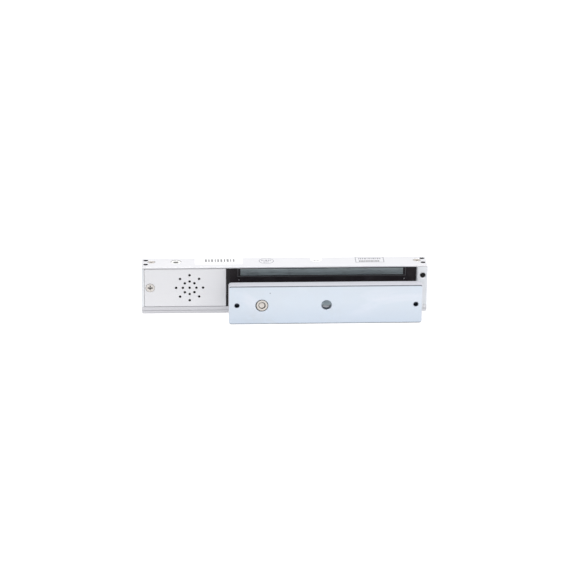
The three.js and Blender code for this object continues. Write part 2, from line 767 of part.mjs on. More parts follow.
boardHoles.forEach(([x, z], i) => {
  const standoff = bar(STANDOFF_R, [0, 0, 0], [0, STANDOFF_L, 0], 6).subtract(
    bar(STANDOFF_BORE_R, [0, -OVERRUN, 0], [0, STANDOFF_L - SCREW_CLEAR, 0]),
  );
  const seat = [x, BOARD_FACE + BOARD_T, z];
  addPiece(lockBody, `standoff_${i + 1}`, standoff, FINISH.brass, seat);

  const shankL = BOARD_T + STANDOFF_L - 2 * SCREW_CLEAR;
  const screw = cut(
    solid(turned([
      [0, -BOARD_SCREW_HEAD_T],
      [BOARD_SCREW_HEAD_R * 0.7, -BOARD_SCREW_HEAD_T],
      [BOARD_SCREW_HEAD_R, -BOARD_SCREW_HEAD_T * 0.4],
      [BOARD_SCREW_HEAD_R, 0],
      [BOARD_SCREW_R, 0],
      [BOARD_SCREW_R, shankL],
      [0, shankL],
    ], FACETS_SMALL)),
    [boxAround([0, -BOARD_SCREW_HEAD_T, 0], [1.4, 0.6, 0.3])],
  );
  addPiece(lockBody, `board_screw_${i + 1}`, screw, FINISH.tinned, [x, BOARD_FACE, z]);
});

// Everything on the board stands on its front face, reaching towards the cover
function onBoard(x, z) {
  return [BOARD_X[0] + x, BOARD_FACE, COVER_MID_Z + z];
}

const buzzer = cut(
  solid(turned([
    [0, 0],
    [BUZZER_R, 0],
    [BUZZER_R, -BUZZER_H + 0.6],
    [BUZZER_R - 0.6, -BUZZER_H],
    [0, -BUZZER_H],
  ], FACETS_LARGE)),
  [bar(BUZZER_PORT_R, [0, -BUZZER_H - OVERRUN, 0], [0, -BUZZER_H / 2, 0])],
);
const buzzerSeat = [GRILLE_X, BOARD_FACE, COVER_MID_Z];
addPiece(lockBody, 'buzzer', buzzer, FINISH.blackPlastic, buzzerSeat);

const wayPitch = TERMINAL.h / TERMINAL_WAYS;
const wayHeights = [];
for (let i = 0; i < TERMINAL_WAYS; i += 1) {
  wayHeights.push((i + 0.5) * wayPitch);
}
const terminalBlock = cut(
  block([0, TERMINAL.w], [-TERMINAL.d, 0], [0, TERMINAL.h]),
  wayHeights.flatMap((z) => [
    bar(
      TERMINAL_SCREW_R + FIT,
      [TERMINAL.w / 2, -TERMINAL.d - OVERRUN, z],
      [TERMINAL.w / 2, -TERMINAL.d + TERMINAL_SCREW_L + SEAT, z],
    ),
    boxAround(
      [0, -TERMINAL.d + TERMINAL_ENTRY.drop, z],
      [TERMINAL_ENTRY.depth, TERMINAL_ENTRY.half, TERMINAL_ENTRY.half],
    ),
  ]),
);
const terminalSeat = onBoard(TERMINAL.x, TERMINAL.z);
addPiece(lockBody, 'terminal_block', terminalBlock, FINISH.terminalGreen, terminalSeat);
wayHeights.forEach((z, i) => {
  const screw = bar(TERMINAL_SCREW_R, [0, 0, 0], [0, TERMINAL_SCREW_L, 0]).subtract(
    boxAround([0, 0, 0], [OVERRUN, 0.6, 0.25]),
  );
  addPiece(lockBody, `terminal_screw_${i + 1}`, screw, FINISH.tinned, [
    terminalSeat[0] + TERMINAL.w / 2,
    terminalSeat[1] - TERMINAL.d,
    terminalSeat[2] + z,
  ]);
});

const relay = prismY(
  roundedOutline([0, RELAY.w], [0, RELAY.h], 0.6),
  [-RELAY.d, 0],
  0.4,
);
addPiece(lockBody, 'relay', relay, FINISH.relayBlue, onBoard(RELAY.x, RELAY.z));

const capacitor = solid(turned([
  [0, 0],
  [CAPACITOR.r, 0],
  [CAPACITOR.r, -1.2],
  [CAPACITOR.r - 0.35, -1.6],
  [CAPACITOR.r, -2],
  [CAPACITOR.r, -CAPACITOR.h + 0.4],
  [CAPACITOR.r - 0.4, -CAPACITOR.h],
  [0, -CAPACITOR.h],
]));
const capacitorSeat = onBoard(CAPACITOR.x, CAPACITOR.z);
addPiece(lockBody, 'capacitor', capacitor, FINISH.canAluminium, capacitorSeat);

const varistor = bar(
  VARISTOR.r,
  [0, -VARISTOR.r, 0],
  [VARISTOR.t, -VARISTOR.r, 0],
  FACETS_MEDIUM,
);
const varistorSeat = onBoard(VARISTOR.x, VARISTOR.z);
addPiece(lockBody, 'varistor', varistor, FINISH.varistorBlue, varistorSeat);

// A part lying along X, carried off the board by its two bent leads
function axialPart(size) {
  const ends = [-size.span / 2, size.span / 2];
  const bodyEnds = [-size.bodyL / 2, size.bodyL / 2];
  return join([
    bar(size.bodyR, [bodyEnds[0], -size.lift, 0], [bodyEnds[1], -size.lift, 0]),
    bar(size.leadR, [ends[0], -size.lift, 0], [ends[1], -size.lift, 0], 8),
    ...ends.map((x) => boxAround(
      [x, -size.lift / 2, 0],
      [size.leadR, size.lift / 2, size.leadR],
    )),
  ]);
}
addPiece(lockBody, 'diode', axialPart(DIODE), FINISH.blackPlastic, onBoard(DIODE.x, DIODE.z));
const sensorSeat = onBoard(SENSOR.x, SENSOR.z);
addPiece(lockBody, 'door_sensor', axialPart(SENSOR), FINISH.glass, sensorSeat);

const headerPins = [];
for (let i = 0; i < HEADER.pins; i += 1) {
  const x = (i + 0.5) * HEADER.pitch;
  headerPins.push(block(
    [x - HEADER.pinHalf, x + HEADER.pinHalf],
    [-HEADER.base - HEADER.pinL, -HEADER.base / 2],
    [HEADER.pitch / 2 - HEADER.pinHalf, HEADER.pitch / 2 + HEADER.pinHalf],
  ));
}
const headerBase = block(
  [0, HEADER.pins * HEADER.pitch],
  [-HEADER.base, 0],
  [0, HEADER.pitch],
);
const headerSeat = onBoard(HEADER.x, HEADER.z);
addPiece(lockBody, 'jumper_header', join([headerBase, ...headerPins]), FINISH.brass, headerSeat);

const capY = [-HEADER.base - HEADER.pinL - 0.5, -HEADER.base - SLIP];
const jumperCap = cut(
  block([SLIP, 2 * HEADER.pitch - SLIP], capY, [SLIP, HEADER.pitch - SLIP]),
  [0, 1].map((i) => boxAround(
    [(i + 0.5) * HEADER.pitch, capY[1], HEADER.pitch / 2],
    [HEADER.pinHalf + SLIP, HEADER.pinL + SLIP, HEADER.pinHalf + SLIP],
  )),
);
addPiece(lockBody, 'jumper_cap', jumperCap, FINISH.blackPlastic, headerSeat);

const chipLegs = [];
for (let i = 0; i < CHIP.legs; i += 1) {
  const x = CHIP.w / 2 + (i - (CHIP.legs - 1) / 2) * CHIP.pitch;
  chipLegs.push(block(
    [x - CHIP.leg / 2, x + CHIP.leg / 2],
    [-CHIP.d / 2, 0],
    [-CHIP.foot, CHIP.h + CHIP.foot],
  ));
}
const chipBody = block([0, CHIP.w], [-CHIP.d - 0.1, -0.1], [0, CHIP.h]);
const chipSeat = onBoard(CHIP.x, CHIP.z);
addPiece(lockBody, 'control_chip', join([chipBody, ...chipLegs]), FINISH.blackPlastic, chipSeat);

// Wire grommet snapped into the top wall
const grommetTop = BODY_H - GROMMET_SINK;
const grommetR = WIRE_HOLE_R - FIT;
const grommet = cut(
  solid(turned([
    [GROMMET_BORE_R, 0],
    [grommetR, 0],
    [grommetR, TOP_WALL - GROMMET_SINK + FIT],
    [grommetR + GROMMET_BARB, TOP_WALL - GROMMET_SINK + FIT],
    [grommetR, GROMMET_H],
    [GROMMET_BORE_R, GROMMET_H],
    [GROMMET_BORE_R, 0],
  ])),
  [-1, 1].map((side) => bar(
    GROMMET_KEY_R,
    [side * GROMMET_KEY_OFFSET, -OVERRUN, 0],
    [side * GROMMET_KEY_OFFSET, GROMMET_KEY_DEPTH, 0],
  )),
);
const grommetMesh = addPiece(
  lockBody,
  'wire_grommet',
  grommet,
  FINISH.whiteNylon,
  [WIRE_HOLE_X, WIRE_HOLE_Y, grommetTop],
);
grommetMesh.rotation.x = -Math.PI / 2;

// Blank stickers
const labelShape = roundedOutline([LABEL.x0, LABEL.x1], [LABEL.y0, LABEL.y1], 0.8);
const stickerZ = [BODY_H, BODY_H + STICKER_T];
addPiece(lockBody, 'label_sticker', prismZ(labelShape, stickerZ), FINISH.paper);
addPiece(
  lockBody,
  'seal_sticker',
  bar(SEAL.r, [SEAL.x, SEAL.y, stickerZ[0]], [SEAL.x, SEAL.y, stickerZ[1]], FACETS_LARGE),
  FINISH.paper,
);

// Armature plate: x from its left end, y from its door face
const armature = new THREE.Group();
armature.position.set(PLATE_START_X - BODY_L / 2, -TOTAL_D / 2, 0);
lock.add(armature);

const guideHoles = [-1, 1].map((side) => {
  const x = BOLT_HOLE_X + side * GUIDE_HOLE_REACH;
  return bar(
    GUIDE_HOLE_R,
    [x, -OVERRUN, HOLE_LINE_Z],
    [x, GUIDE_HOLE_DEPTH, HOLE_LINE_Z],
    FACETS_MEDIUM,
  );
});
const plate = cut(
  prismY(roundedOutline([0, PLATE_L], [0, PLATE_H], PLATE_CORNER_R), [0, PLATE_T], PLATE_BEVEL),
  [
    ...guideHoles,
    bar(
      BOLT_HOLE_R,
      [BOLT_HOLE_X, -OVERRUN, HOLE_LINE_Z],
      [BOLT_HOLE_X, PLATE_T + OVERRUN, HOLE_LINE_Z],
      FACETS_MEDIUM,
    ),
    bar(
      BOLT_BORE_R,
      [BOLT_HOLE_X, PLATE_T - BOLT_BORE_DEPTH, HOLE_LINE_Z],
      [BOLT_HOLE_X, PLATE_T + OVERRUN, HOLE_LINE_Z],
      FACETS_LARGE,
    ),
    bar(
      POCKET_R,
      [PIN_X, -OVERRUN, HOLE_LINE_Z],
      [PIN_X, POCKET_DEPTH, HOLE_LINE_Z],
      FACETS_MEDIUM,
    ),
    bar(
      PIN_R + SLIP,
      [PIN_X, 0, HOLE_LINE_Z],
      [PIN_X, PLATE_T + OVERRUN, HOLE_LINE_Z],
      FACETS_MEDIUM,
    ),
  ],
);
addPiece(armature, 'armature_plate', plate, FINISH.zincPlate);

// Release pin: pushes the armature off the poles when the magnet lets go
const plunger = new THREE.Group();
plunger.position.set(PIN_X, 0, HOLE_LINE_Z);
armature.add(plunger);

const bushingY = [BUSHING_SINK, BUSHING_SINK + BUSHING_T];
const bushingR = POCKET_R - FIT;
const bushingBoreR = PIN_R + SLIP;
const spannerR = (bushingBoreR + bushingR) / 2;
const bushing = cut(
  solid(turned([
    [bushingBoreR, bushingY[0]],
    [bushingR - BUSHING_EDGE, bushingY[0]],
    [bushingR, bushingY[0] + BUSHING_EDGE],
    [bushingR, bushingY[1]],
    [bushingBoreR, bushingY[1]],
    [bushingBoreR, bushingY[0]],
  ])),
  [-1, 1].map((side) => bar(
    SPANNER_HOLE_R,
    [side * spannerR, 0, 0],
    [side * spannerR, bushingY[0] + BUSHING_T / 2, 0],
    8,
  )),
);
addPiece(plunger, 'pin_bushing', bushing, FINISH.nickel);

const collarY = [POCKET_DEPTH - SEAT - COLLAR_T, POCKET_DEPTH - SEAT];
const noseY = PLATE_T + PIN_REACH;
const releasePin = solid(turned([
  [0, PIN_TAIL_SINK],
  [PIN_R - PIN_EDGE, PIN_TAIL_SINK],
  [PIN_R, PIN_TAIL_SINK + PIN_EDGE],
  [PIN_R, collarY[0]],
  [COLLAR_R, collarY[0]],
  [COLLAR_R, collarY[1]],
  [PIN_R, collarY[1]],
  [PIN_R, noseY - PIN_EDGE],
  [PIN_R - PIN_EDGE, noseY],
  [0, noseY],
]));
addPiece(plunger, 'release_pin', releasePin, FINISH.nickel);

class Helix extends THREE.Curve {
  getPoint(t, target = new THREE.Vector3()) {
    const angle = t * SPRING_TURNS * 2 * Math.PI;
    const low = bushingY[1] + SPRING_WIRE_R + SEAT;
    const high = collarY[0] - SPRING_WIRE_R - SEAT;
    return target.set(
      SPRING_R * Math.cos(angle),
      low + (high - low) * t,
      SPRING_R * Math.sin(angle),
    );
  }
}
const wire = new THREE.Shape();
wire.absarc(0, 0, SPRING_WIRE_R, 0, 2 * Math.PI);
const spring = solid(new THREE.ExtrudeGeometry(wire, {
  steps: Math.round(SPRING_TURNS * 14),
  curveSegments: 6,
  extrudePath: new Helix(),
}));
addPiece(plunger, 'release_spring', spring, FINISH.springSteel);

export default lock;
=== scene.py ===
"""Looks for a magnetic door lock: magnet body, control-board cover and armature plate.

Shapes are built in millimetres, in the lock's own frame (x from its left end, y from
its front face, z from the surface it stands on) or the armature plate's, and are set
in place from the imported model's boxes.
"""

import math

import bmesh
import bpy
from mathutils import Matrix, Vector


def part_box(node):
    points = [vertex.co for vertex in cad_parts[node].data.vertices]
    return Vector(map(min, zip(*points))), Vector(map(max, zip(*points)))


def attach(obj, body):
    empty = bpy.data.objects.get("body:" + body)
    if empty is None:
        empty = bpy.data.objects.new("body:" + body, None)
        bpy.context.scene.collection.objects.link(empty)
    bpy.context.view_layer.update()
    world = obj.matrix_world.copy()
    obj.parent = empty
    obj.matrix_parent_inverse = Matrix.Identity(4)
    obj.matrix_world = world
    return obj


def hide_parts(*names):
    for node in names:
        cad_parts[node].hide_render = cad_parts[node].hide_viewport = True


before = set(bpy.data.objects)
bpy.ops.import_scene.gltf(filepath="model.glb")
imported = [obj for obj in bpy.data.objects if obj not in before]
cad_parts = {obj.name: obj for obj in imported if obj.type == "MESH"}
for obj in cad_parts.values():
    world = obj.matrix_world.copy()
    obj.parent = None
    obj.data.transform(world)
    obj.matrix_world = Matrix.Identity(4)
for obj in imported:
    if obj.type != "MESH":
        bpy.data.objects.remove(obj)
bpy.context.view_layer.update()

MM = 0.001
HOUSING_LOW, HOUSING_HIGH = (Vector(corner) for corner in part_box("housing"))
PLATE_LOW, PLATE_HIGH = (Vector(corner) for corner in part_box("armature_plate"))
BODY_L, BODY_D, BODY_H = (HOUSING_HIGH - HOUSING_LOW) / MM
PLATE_L, PLATE_T, PLATE_H = (PLATE_HIGH - PLATE_LOW) / MM


def packed_box(node):
    """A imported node's low and high corners, in millimetres in the lock's own frame."""
    return [(Vector(corner) - HOUSING_LOW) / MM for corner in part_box(node)]


# Housing and end blocks
TOP_WALL = 1.2
BACK_WALL = 2.2
LIP_H = 6.8
CAVITY_TOP = BODY_H - TOP_WALL
CAVITY_BACK = BODY_D - BACK_WALL
FIT = 0.15
END_STRIP = 2.3
BLOCK_W = 15.5
RIGHT_FACE_W = 10.8
RIGHT_FACE_X = BODY_L - RIGHT_FACE_W
FIX_BORE_R = 2.55
FIX_BORE_Z = 36.4
FIX_BORE_XS = (19.6, BODY_L - 4.6)
TOP_SCREW_XS = (9.2, BODY_L - 9.2)
TOP_SCREW_Y = 14.3
TOP_HOLE_R = 2.3
TOP_HOLE_XS = (3.9, BODY_L - 3.9)
TOP_HOLE_YS = (8.3, 18.6)
WIRE_HOLE = (32.2, 14.0)
WIRE_HOLE_R = 5.0

# Cover
COVER_LOW, COVER_HIGH = packed_box("cover_plate")
COVER_X1 = 78.9
COVER_MID_Z = (COVER_LOW.z + COVER_HIGH.z) / 2
COVER_SCREW_X = 8.0
GRILLE_X = 44.8
GRILLE_HOLE_R = 1.2
GRILLE_RINGS = (6.35, 12.6)
GRILLE_REACH = 15.0
SHADE_SHEET_R = 15.5

# Magnet
CORE_LOW, CORE_HIGH = packed_box("magnet_core")
CORE_MID_Z = (CORE_LOW.z + CORE_HIGH.z) / 2
OUTER_POLE_H = 6.4
SLOT_H = 8.2
CENTRE_HALF = (CORE_HIGH.z - CORE_LOW.z) / 2 - OUTER_POLE_H - SLOT_H
SLOT_BACK = CORE_HIGH.y - 6.5
WINDING_ROOM = 5.75
TAP_PIN_Z = 33.2
TAP_PIN_GAP = 1.3
LEAD_BORE_R = 0.85
LEAD_Y = 9
LEAD_ZS = (COVER_MID_Z + 6.9, COVER_MID_Z + 8.7)

# Sunk frames round the poles: low edge, high edge and the moulded rib's margin
POLES = (
    (CORE_HIGH.z - OUTER_POLE_H, CORE_HIGH.z, 1.4),
    (CORE_MID_Z - CENTRE_HALF, CORE_MID_Z + CENTRE_HALF, 0.7),
    (CORE_LOW.z, CORE_LOW.z + OUTER_POLE_H, 1.4),
)
FRAME_SIDE = 2.6
FRAME_MARGIN = 1.4
FRAME_RIB = 0.55

# Armature
HOLE_Z = 18.7
BOLT_X = 90.8
GUIDE_REACH = 83.2
PIN_X = 30.7
PIN_R = 2.7
COLLAR_R = 4.8
BOLT_HOLE_R = 4.6
GUIDE_HOLE_R = 2.2
SPRING_R = 3.9
SPRING_TURNS = 2.5
SPRING_YS = (3.8, 6.55)

# Printed marks
INK_T = 0.02


# ---------------------------------------------------------------- mesh building


def rounded(u, v, radii, steps=8):
    """A rectangle's outline with rounded corners, anticlockwise from the low corner."""
    if not isinstance(radii, (tuple, list)):
        radii = (radii,) * 4
    centres = (
        (u[0] + radii[0], v[0] + radii[0], 180),
        (u[1] - radii[1], v[0] + radii[1], 270),
        (u[1] - radii[2], v[1] - radii[2], 0),
        (u[0] + radii[3], v[1] - radii[3], 90),
    )
    points = []
    for (cu, cv, start), radius in zip(centres, radii):
        for step in range(steps + 1):
            angle = math.radians(start + 90 * step / steps)
            points.append((cu + radius * math.cos(angle), cv + radius * math.sin(angle)))
    return points


def prism(outline, axis, low, high):
    """An outline extruded along an axis, between two positions on it."""
    place = {
        "x": lambda u, v, w: (w, u, v),
        "y": lambda u, v, w: (u, w, v),
        "z": lambda u, v, w: (u, v, w),
    }[axis]
    bm = bmesh.new()
    rings = [[bm.verts.new(place(u, v, w)) for u, v in outline] for w in (low, high)]
    bm.faces.new(rings[0])
    bm.faces.new(rings[1])
    count = len(outline)
    for i in range(count):
        j = (i + 1) % count
        bm.faces.new((rings[0][i], rings[0][j], rings[1][j], rings[1][i]))
    bmesh.ops.recalc_face_normals(bm, faces=bm.faces)
    return bm


def block(x, y, z):
    return prism([(x[0], y[0]), (x[1], y[0]), (x[1], y[1]), (x[0], y[1])], "z", *z)


def turned(profile, start, direction, segments=64):
    """A profile of (radius, distance) turned about a line from start along direction."""
    bm = bmesh.new()
    rings = []
    for radius, along in profile:
        if radius == 0:
            rings.append([bm.verts.new((0, 0, along))])
            continue
        ring = []
        for i in range(segments):
            angle = 2 * math.pi * i / segments
            ring.append(
                bm.verts.new((radius * math.cos(angle), radius * math.sin(angle), along))
            )
        rings.append(ring)
    if profile[0][0] and profile[0] == profile[-1]:
        for vert in rings.pop():
            bm.verts.remove(vert)
        rings.append(rings[0])
    for a, b in zip(rings, rings[1:]):
        for i in range(segments):
            j = (i + 1) % segments
            corners = [a[i % len(a)], a[j % len(a)], b[j % len(b)], b[i % len(b)]]
            bm.faces.new(list(dict.fromkeys(corners)))
    turn = Vector(direction).to_track_quat("Z", "Y").to_matrix().to_4x4()
    bm.transform(Matrix.Translation(Vector(start)) @ turn)
    bmesh.ops.recalc_face_normals(bm, faces=bm.faces)
    return bm


def rod(radius, start, end, segments=48):
    along = Vector(end) - Vector(start)
    profile = [(0, 0), (radius, 0), (radius, along.length), (0, along.length)]
    return turned(profile, start, along, segments)


def swept(points, radius, sides=16):
    """A round wire through points, with closed ends."""
    bm = bmesh.new()
    rings = []
    for i, point in enumerate(points):
        ahead = points[min(i + 1, len(points) - 1)] - points[max(i - 1, 0)]
        turn = ahead.to_track_quat("Z", "Y")
        ring = []
        for k in range(sides):
            angle = 2 * math.pi * k / sides
            spoke = Vector((radius * math.cos(angle), radius * math.sin(angle), 0))
            ring.append(bm.verts.new(point + turn @ spoke))
        rings.append(ring)
    for a, b in zip(rings, rings[1:]):
        for k in range(sides):
            n = (k + 1) % sides
            bm.faces.new((a[k], a[n], b[n], b[k]))
    bm.faces.new(rings[0])
    bm.faces.new(rings[-1])
    bmesh.ops.recalc_face_normals(bm, faces=bm.faces)
    return bm


def gather(pieces):
    """One mesh from several, left as they are where they cross."""
    whole = bmesh.new()
    for piece in pieces:
        mesh = bpy.data.meshes.new("part")
        piece.to_mesh(mesh)
        whole.from_mesh(mesh)
        bpy.data.meshes.remove(mesh)
        piece.free()
    return whole


def temporary(bm):
    mesh = bpy.data.meshes.new("temporary")
    bm.to_mesh(mesh)
    bm.free()
    obj = bpy.data.objects.new("temporary", mesh)
    bpy.context.scene.collection.objects.link(obj)
    return obj


def baked(obj):
    """The object's mesh with its modifiers applied."""
    graph = bpy.context.evaluated_depsgraph_get()
    return bpy.data.meshes.new_from_object(obj.evaluated_get(graph))


def discard(obj):
    mesh = obj.data
    bpy.data.objects.remove(obj)
    bpy.data.meshes.remove(mesh)


def boolean(body, tools, operation="DIFFERENCE"):
    target = temporary(body)
    tool = temporary(gather(tools))
    step = target.modifiers.new("boolean", "BOOLEAN")
    step.operation = operation
    step.solver = "EXACT"
    step.use_self = True
    step.object = tool
    mesh = baked(target)
    result = bmesh.new()
    result.from_mesh(mesh)
    bpy.data.meshes.remove(mesh)
    discard(target)
    discard(tool)
    return result


def settle(name, bm, origin, finish, body, stands_for, edge=0.0, segments=2, angle=38):
    """Makes a piece of the object from a mesh in millimetres."""
    obj = temporary(bm)
    if edge:
        bevel = obj.modifiers.new("edge", "BEVEL")
        bevel.width = edge
        bevel.segments = segments
        bevel.limit_method = "ANGLE"
        bevel.angle_limit = math.radians(angle)
        bevel.use_clamp_overlap = True
        mesh = baked(obj)
        old = obj.data
        obj.modifiers.clear()
        obj.data = mesh
        bpy.data.meshes.remove(old)
    obj.name = name
    obj.data.name = name
    obj.data.transform(Matrix.Translation(origin) @ Matrix.Scale(MM, 4))
    obj.data.polygons.foreach_set("use_smooth", [True] * len(obj.data.polygons))
    obj.data.set_sharp_from_angle(angle=math.radians(angle))
    weights = obj.modifiers.new("flat_faces", "WEIGHTED_NORMAL")
    weights.keep_sharp = True
    obj.data.materials.clear()
    obj.data.materials.append(finish.material)
    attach(obj, body)
    if stands_for:
        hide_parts(*stands_for)
    return obj


# ---------------------------------------------------------------- materials


class Look:
    """A procedural material built around one Principled shader, in metres."""

    def __init__(self, name, slot, colour, roughness, metallic=0.0, **sockets):
        self.material = bpy.data.materials.new(name)
        self.material.use_nodes = True
        self.tree = self.material.node_tree
        self.shader = self.tree.nodes["Principled BSDF"]
        self.slot = slot
        self.colour = (*colour, 1)
        self.shader.inputs["Base Color"].default_value = self.colour
        self.shader.inputs["Roughness"].default_value = roughness
        self.shader.inputs["Metallic"].default_value = metallic
        for socket, value in sockets.items():
            self.shader.inputs[socket.replace("_", " ")].default_value = value
        self.coordinates = self.add("ShaderNodeTexCoord")
        self.place = self.coordinates.outputs["Object"]
        self.tint = None
        self.height = None

    def add(self, kind, **settings):
        node = self.tree.nodes.new(kind)
        for key, value in settings.items():
            setattr(node, key, value)
        return node

    def join(self, source, target):
        self.tree.links.new(source, target)

    def noise(self, scale, detail=4.0, roughness=0.55, distortion=0.0):
        """Noise whose scale is features per metre, one number or one for each axis."""
        stretch = self.add("ShaderNodeMapping")
        stretch.inputs["Scale"].default_value = (
            scale if isinstance(scale, (tuple, list)) else (scale,) * 3
        )
        self.join(self.place, stretch.inputs["Vector"])
        texture = self.add("ShaderNodeTexNoise")
        texture.inputs["Scale"].default_value = 1.0
        texture.inputs["Detail"].default_value = detail
        texture.inputs["Roughness"].default_value = roughness
        texture.inputs["Distortion"].default_value = distortion
        self.join(stretch.outputs["Vector"], texture.inputs["Vector"])
        return texture.outputs["Fac"]

    def stripes(self, axis, per_metre, distortion=0.0):
        texture = self.add("ShaderNodeTexWave", bands_direction=axis)
        texture.inputs["Scale"].default_value = per_metre / 3.18
        texture.inputs["Distortion"].default_value = distortion
        texture.inputs["Detail"].default_value = 2.0
        self.join(self.place, texture.inputs["Vector"])
        return texture.outputs["Fac"]

    def span(self, factor, low, high, out_low=0.0, out_high=1.0):
        node = self.add("ShaderNodeMapRange")
        node.inputs["From Min"].default_value = low
        node.inputs["From Max"].default_value = high
        node.inputs["To Min"].default_value = out_low
        node.inputs["To Max"].default_value = out_high
        self.join(factor, node.inputs["Value"])
        return node.outputs["Result"]

    def blend(self, factor, colour, kind="MIX"):
        """Lays a colour over the base colour where factor is 1."""
        node = self.add("ShaderNodeMix", data_type="RGBA", blend_type=kind)
        if self.tint is None:
            node.inputs["A"].default_value = self.colour
        else:
            self.join(self.tint, node.inputs["A"])
        node.inputs["B"].default_value = (*colour, 1)
        self.join(factor, node.inputs["Factor"])
        self.tint = node.outputs["Result"]
        self.join(self.tint, self.shader.inputs["Base Color"])
        return self

    def gloss(self, factor, low, high):
        """Varies the roughness between two values."""
        self.join(
            self.span(factor, 0.3, 0.7, low, high), self.shader.inputs["Roughness"]
        )
        return self

    def relief(self, factor, depth, strength=1.0):
        """Adds a bump of that depth in metres, on top of any earlier one."""
        node = self.add("ShaderNodeBump")
        node.inputs["Strength"].default_value = strength
        node.inputs["Distance"].default_value = depth
        self.join(factor, node.inputs["Height"])
        if self.height is not None:
            self.join(self.height, node.inputs["Normal"])
        self.height = node.outputs["Normal"]
        self.join(self.height, self.shader.inputs["Normal"])
        return self

    def reckon(self, operation, a, b=None):
        node = self.add("ShaderNodeMath", operation=operation)
        for socket, value in zip(node.inputs, (a, b)):
            if isinstance(value, (int, float)):
                socket.default_value = value
            elif value is not None:
                self.join(value, socket)
        return node.outputs["Value"]

    def along(self, axis):
        """The position on one axis, in metres."""
        split = self.add("ShaderNodeSeparateXYZ")
        self.join(self.place, split.inputs["Vector"])
        return split.outputs[axis]

    def facing(self):
        """1 on front faces, -1 on back faces, 0 on faces along the Y axis."""
        split = self.add("ShaderNodeSeparateXYZ")
        self.join(self.coordinates.outputs["Normal"], split.inputs["Vector"])
        return self.reckon("MULTIPLY", split.outputs["Y"], -1)

    def spot(self, centre, radius):
        """1 at a point, falling to 0 at a radius, both in metres, with a ragged edge."""
        away = self.add("ShaderNodeVectorMath", operation="DISTANCE")
        self.join(self.place, away.inputs[0])
        away.inputs[1].default_value = centre
        ragged = self.noise(2.2 / radius, detail=5.0, roughness=0.7)
        near = self.span(away.outputs["Value"], radius, radius * 0.2)
        return self.reckon("MULTIPLY", near, self.span(ragged, 0.42, 0.62))

    def crevices(self, reach, local=True, open_at=0.66, shut_at=0.2):
        """1 deep in holes, grooves and corners of about that reach in metres, else 0."""
        shade = self.add("ShaderNodeAmbientOcclusion", samples=8, only_local=local)
        shade.inputs["Distance"].default_value = reach
        return self.span(shade.outputs["AO"], open_at, shut_at)

    def edges(self, radius):
        """1 where the surface turns over an edge of that radius in metres, else 0."""
        bevel = self.add("ShaderNodeBevel", samples=4)
        bevel.inputs["Radius"].default_value = radius
        true_normal = self.add("ShaderNodeNewGeometry").outputs["Normal"]
        dot = self.add("ShaderNodeVectorMath", operation="DOT_PRODUCT")
        self.join(bevel.outputs["Normal"], dot.inputs[0])
        self.join(true_normal, dot.inputs[1])
        return self.span(dot.outputs["Value"], 0.99, 0.8)


def metal(
    name, slot, colour, roughness, metallic, grain, grain_depth, shade, edge_wear_and_sheen,
    reach=0.002, local=True,
):
    """Metal with a directional grain, cloudy tone, paler edges that are partly wear and partly
    painted highlight, and painted shade in its crevices.
    """
    look = Look(name, slot, colour, roughness, metallic)
    lines = look.noise(grain, detail=6.0, roughness=0.65)
    clouds = look.noise(38.0, detail=3.0)
    look.blend(look.span(clouds, 0.42, 0.72, 0.0, 0.55), shade)
    look.blend(look.span(lines, 0.5, 0.8, 0.0, 0.35), shade)
    look.gloss(lines, roughness - 0.05, roughness + 0.07)
    look.relief(lines, grain_depth, 0.6)
    # Paler edges: partly wear, partly painted highlight
    look.blend(look.edges(0.0003), edge_wear_and_sheen)
    # Painted shade: darkens holes, grooves and corners within the reach
    look.blend(look.crevices(reach, local), tuple(value * 0.08 for value in colour))
    return look


LENGTHWISE = (30.0, 1900.0, 1900.0)

anodised = metal(
    "anodised_aluminium", "anodised_aluminium",
    colour=(0.77, 0.77, 0.795), roughness=0.46, metallic=0.5,
    grain=LENGTHWISE, grain_depth=0.00001,
    shade=(0.70, 0.70, 0.73), edge_wear_and_sheen=(0.86, 0.86, 0.87), reach=0.006,
)
anodised.relief(anodised.noise(5200.0, detail=2.0), 0.000006, 0.35)

# Painted shade: the lower lip's front is darker towards its left end
lip_front = HOUSING_LOW.y + 0.004
lip_shade_face = anodised.reckon(
    "MULTIPLY",
    anodised.span(anodised.along("Z"), 0.0071, 0.0069, 0.0, 0.9),
    anodised.span(anodised.along("Y"), lip_front, lip_front - 0.0005),
)
lip_shade_run = anodised.span(anodised.along("X"), 0.09, 0.0)
anodised.blend(anodised.reckon("MULTIPLY", lip_shade_face, lip_shade_run), (0.63, 0.63, 0.66))

# Painted shade: the holes in the top wall are darkened inside
anodised.blend(
    anodised.reckon(
        "MULTIPLY",
        anodised.crevices(0.006, False, 0.7, 0.35),
        anodised.span(anodised.along("Z"), 0.030, 0.031),
    ),
    (0.02, 0.02, 0.022),
)

cover_skin = metal(
    "cover_aluminium", "anodised_aluminium",
    colour=(0.79, 0.79, 0.815), roughness=0.5, metallic=0.5,
    grain=(42.0, 1600.0, 1600.0), grain_depth=0.000008,
    shade=(0.775, 0.78, 0.81), edge_wear_and_sheen=(1.0, 1.0, 1.0), reach=0.003,
)

# Painted shade: the walls of the grille's holes are darkened
GRILLE_CENTRE = HOUSING_LOW + Vector((GRILLE_X, COVER_LOW.y, COVER_MID_Z)) * MM
from_grille = cover_skin.add("ShaderNodeVectorMath", operation="DISTANCE")
cover_skin.join(cover_skin.place, from_grille.inputs[0])
from_grille.inputs[1].default_value = GRILLE_CENTRE
cover_skin.blend(
    cover_skin.reckon(
        "MULTIPLY",
        cover_skin.span(
            from_grille.outputs["Value"], (GRILLE_REACH + 0.1) * MM, GRILLE_REACH * MM
        ),
        cover_skin.span(cover_skin.reckon("ABSOLUTE", cover_skin.facing()), 0.35, 0.15),
    ),
    (0.012, 0.012, 0.014),
)

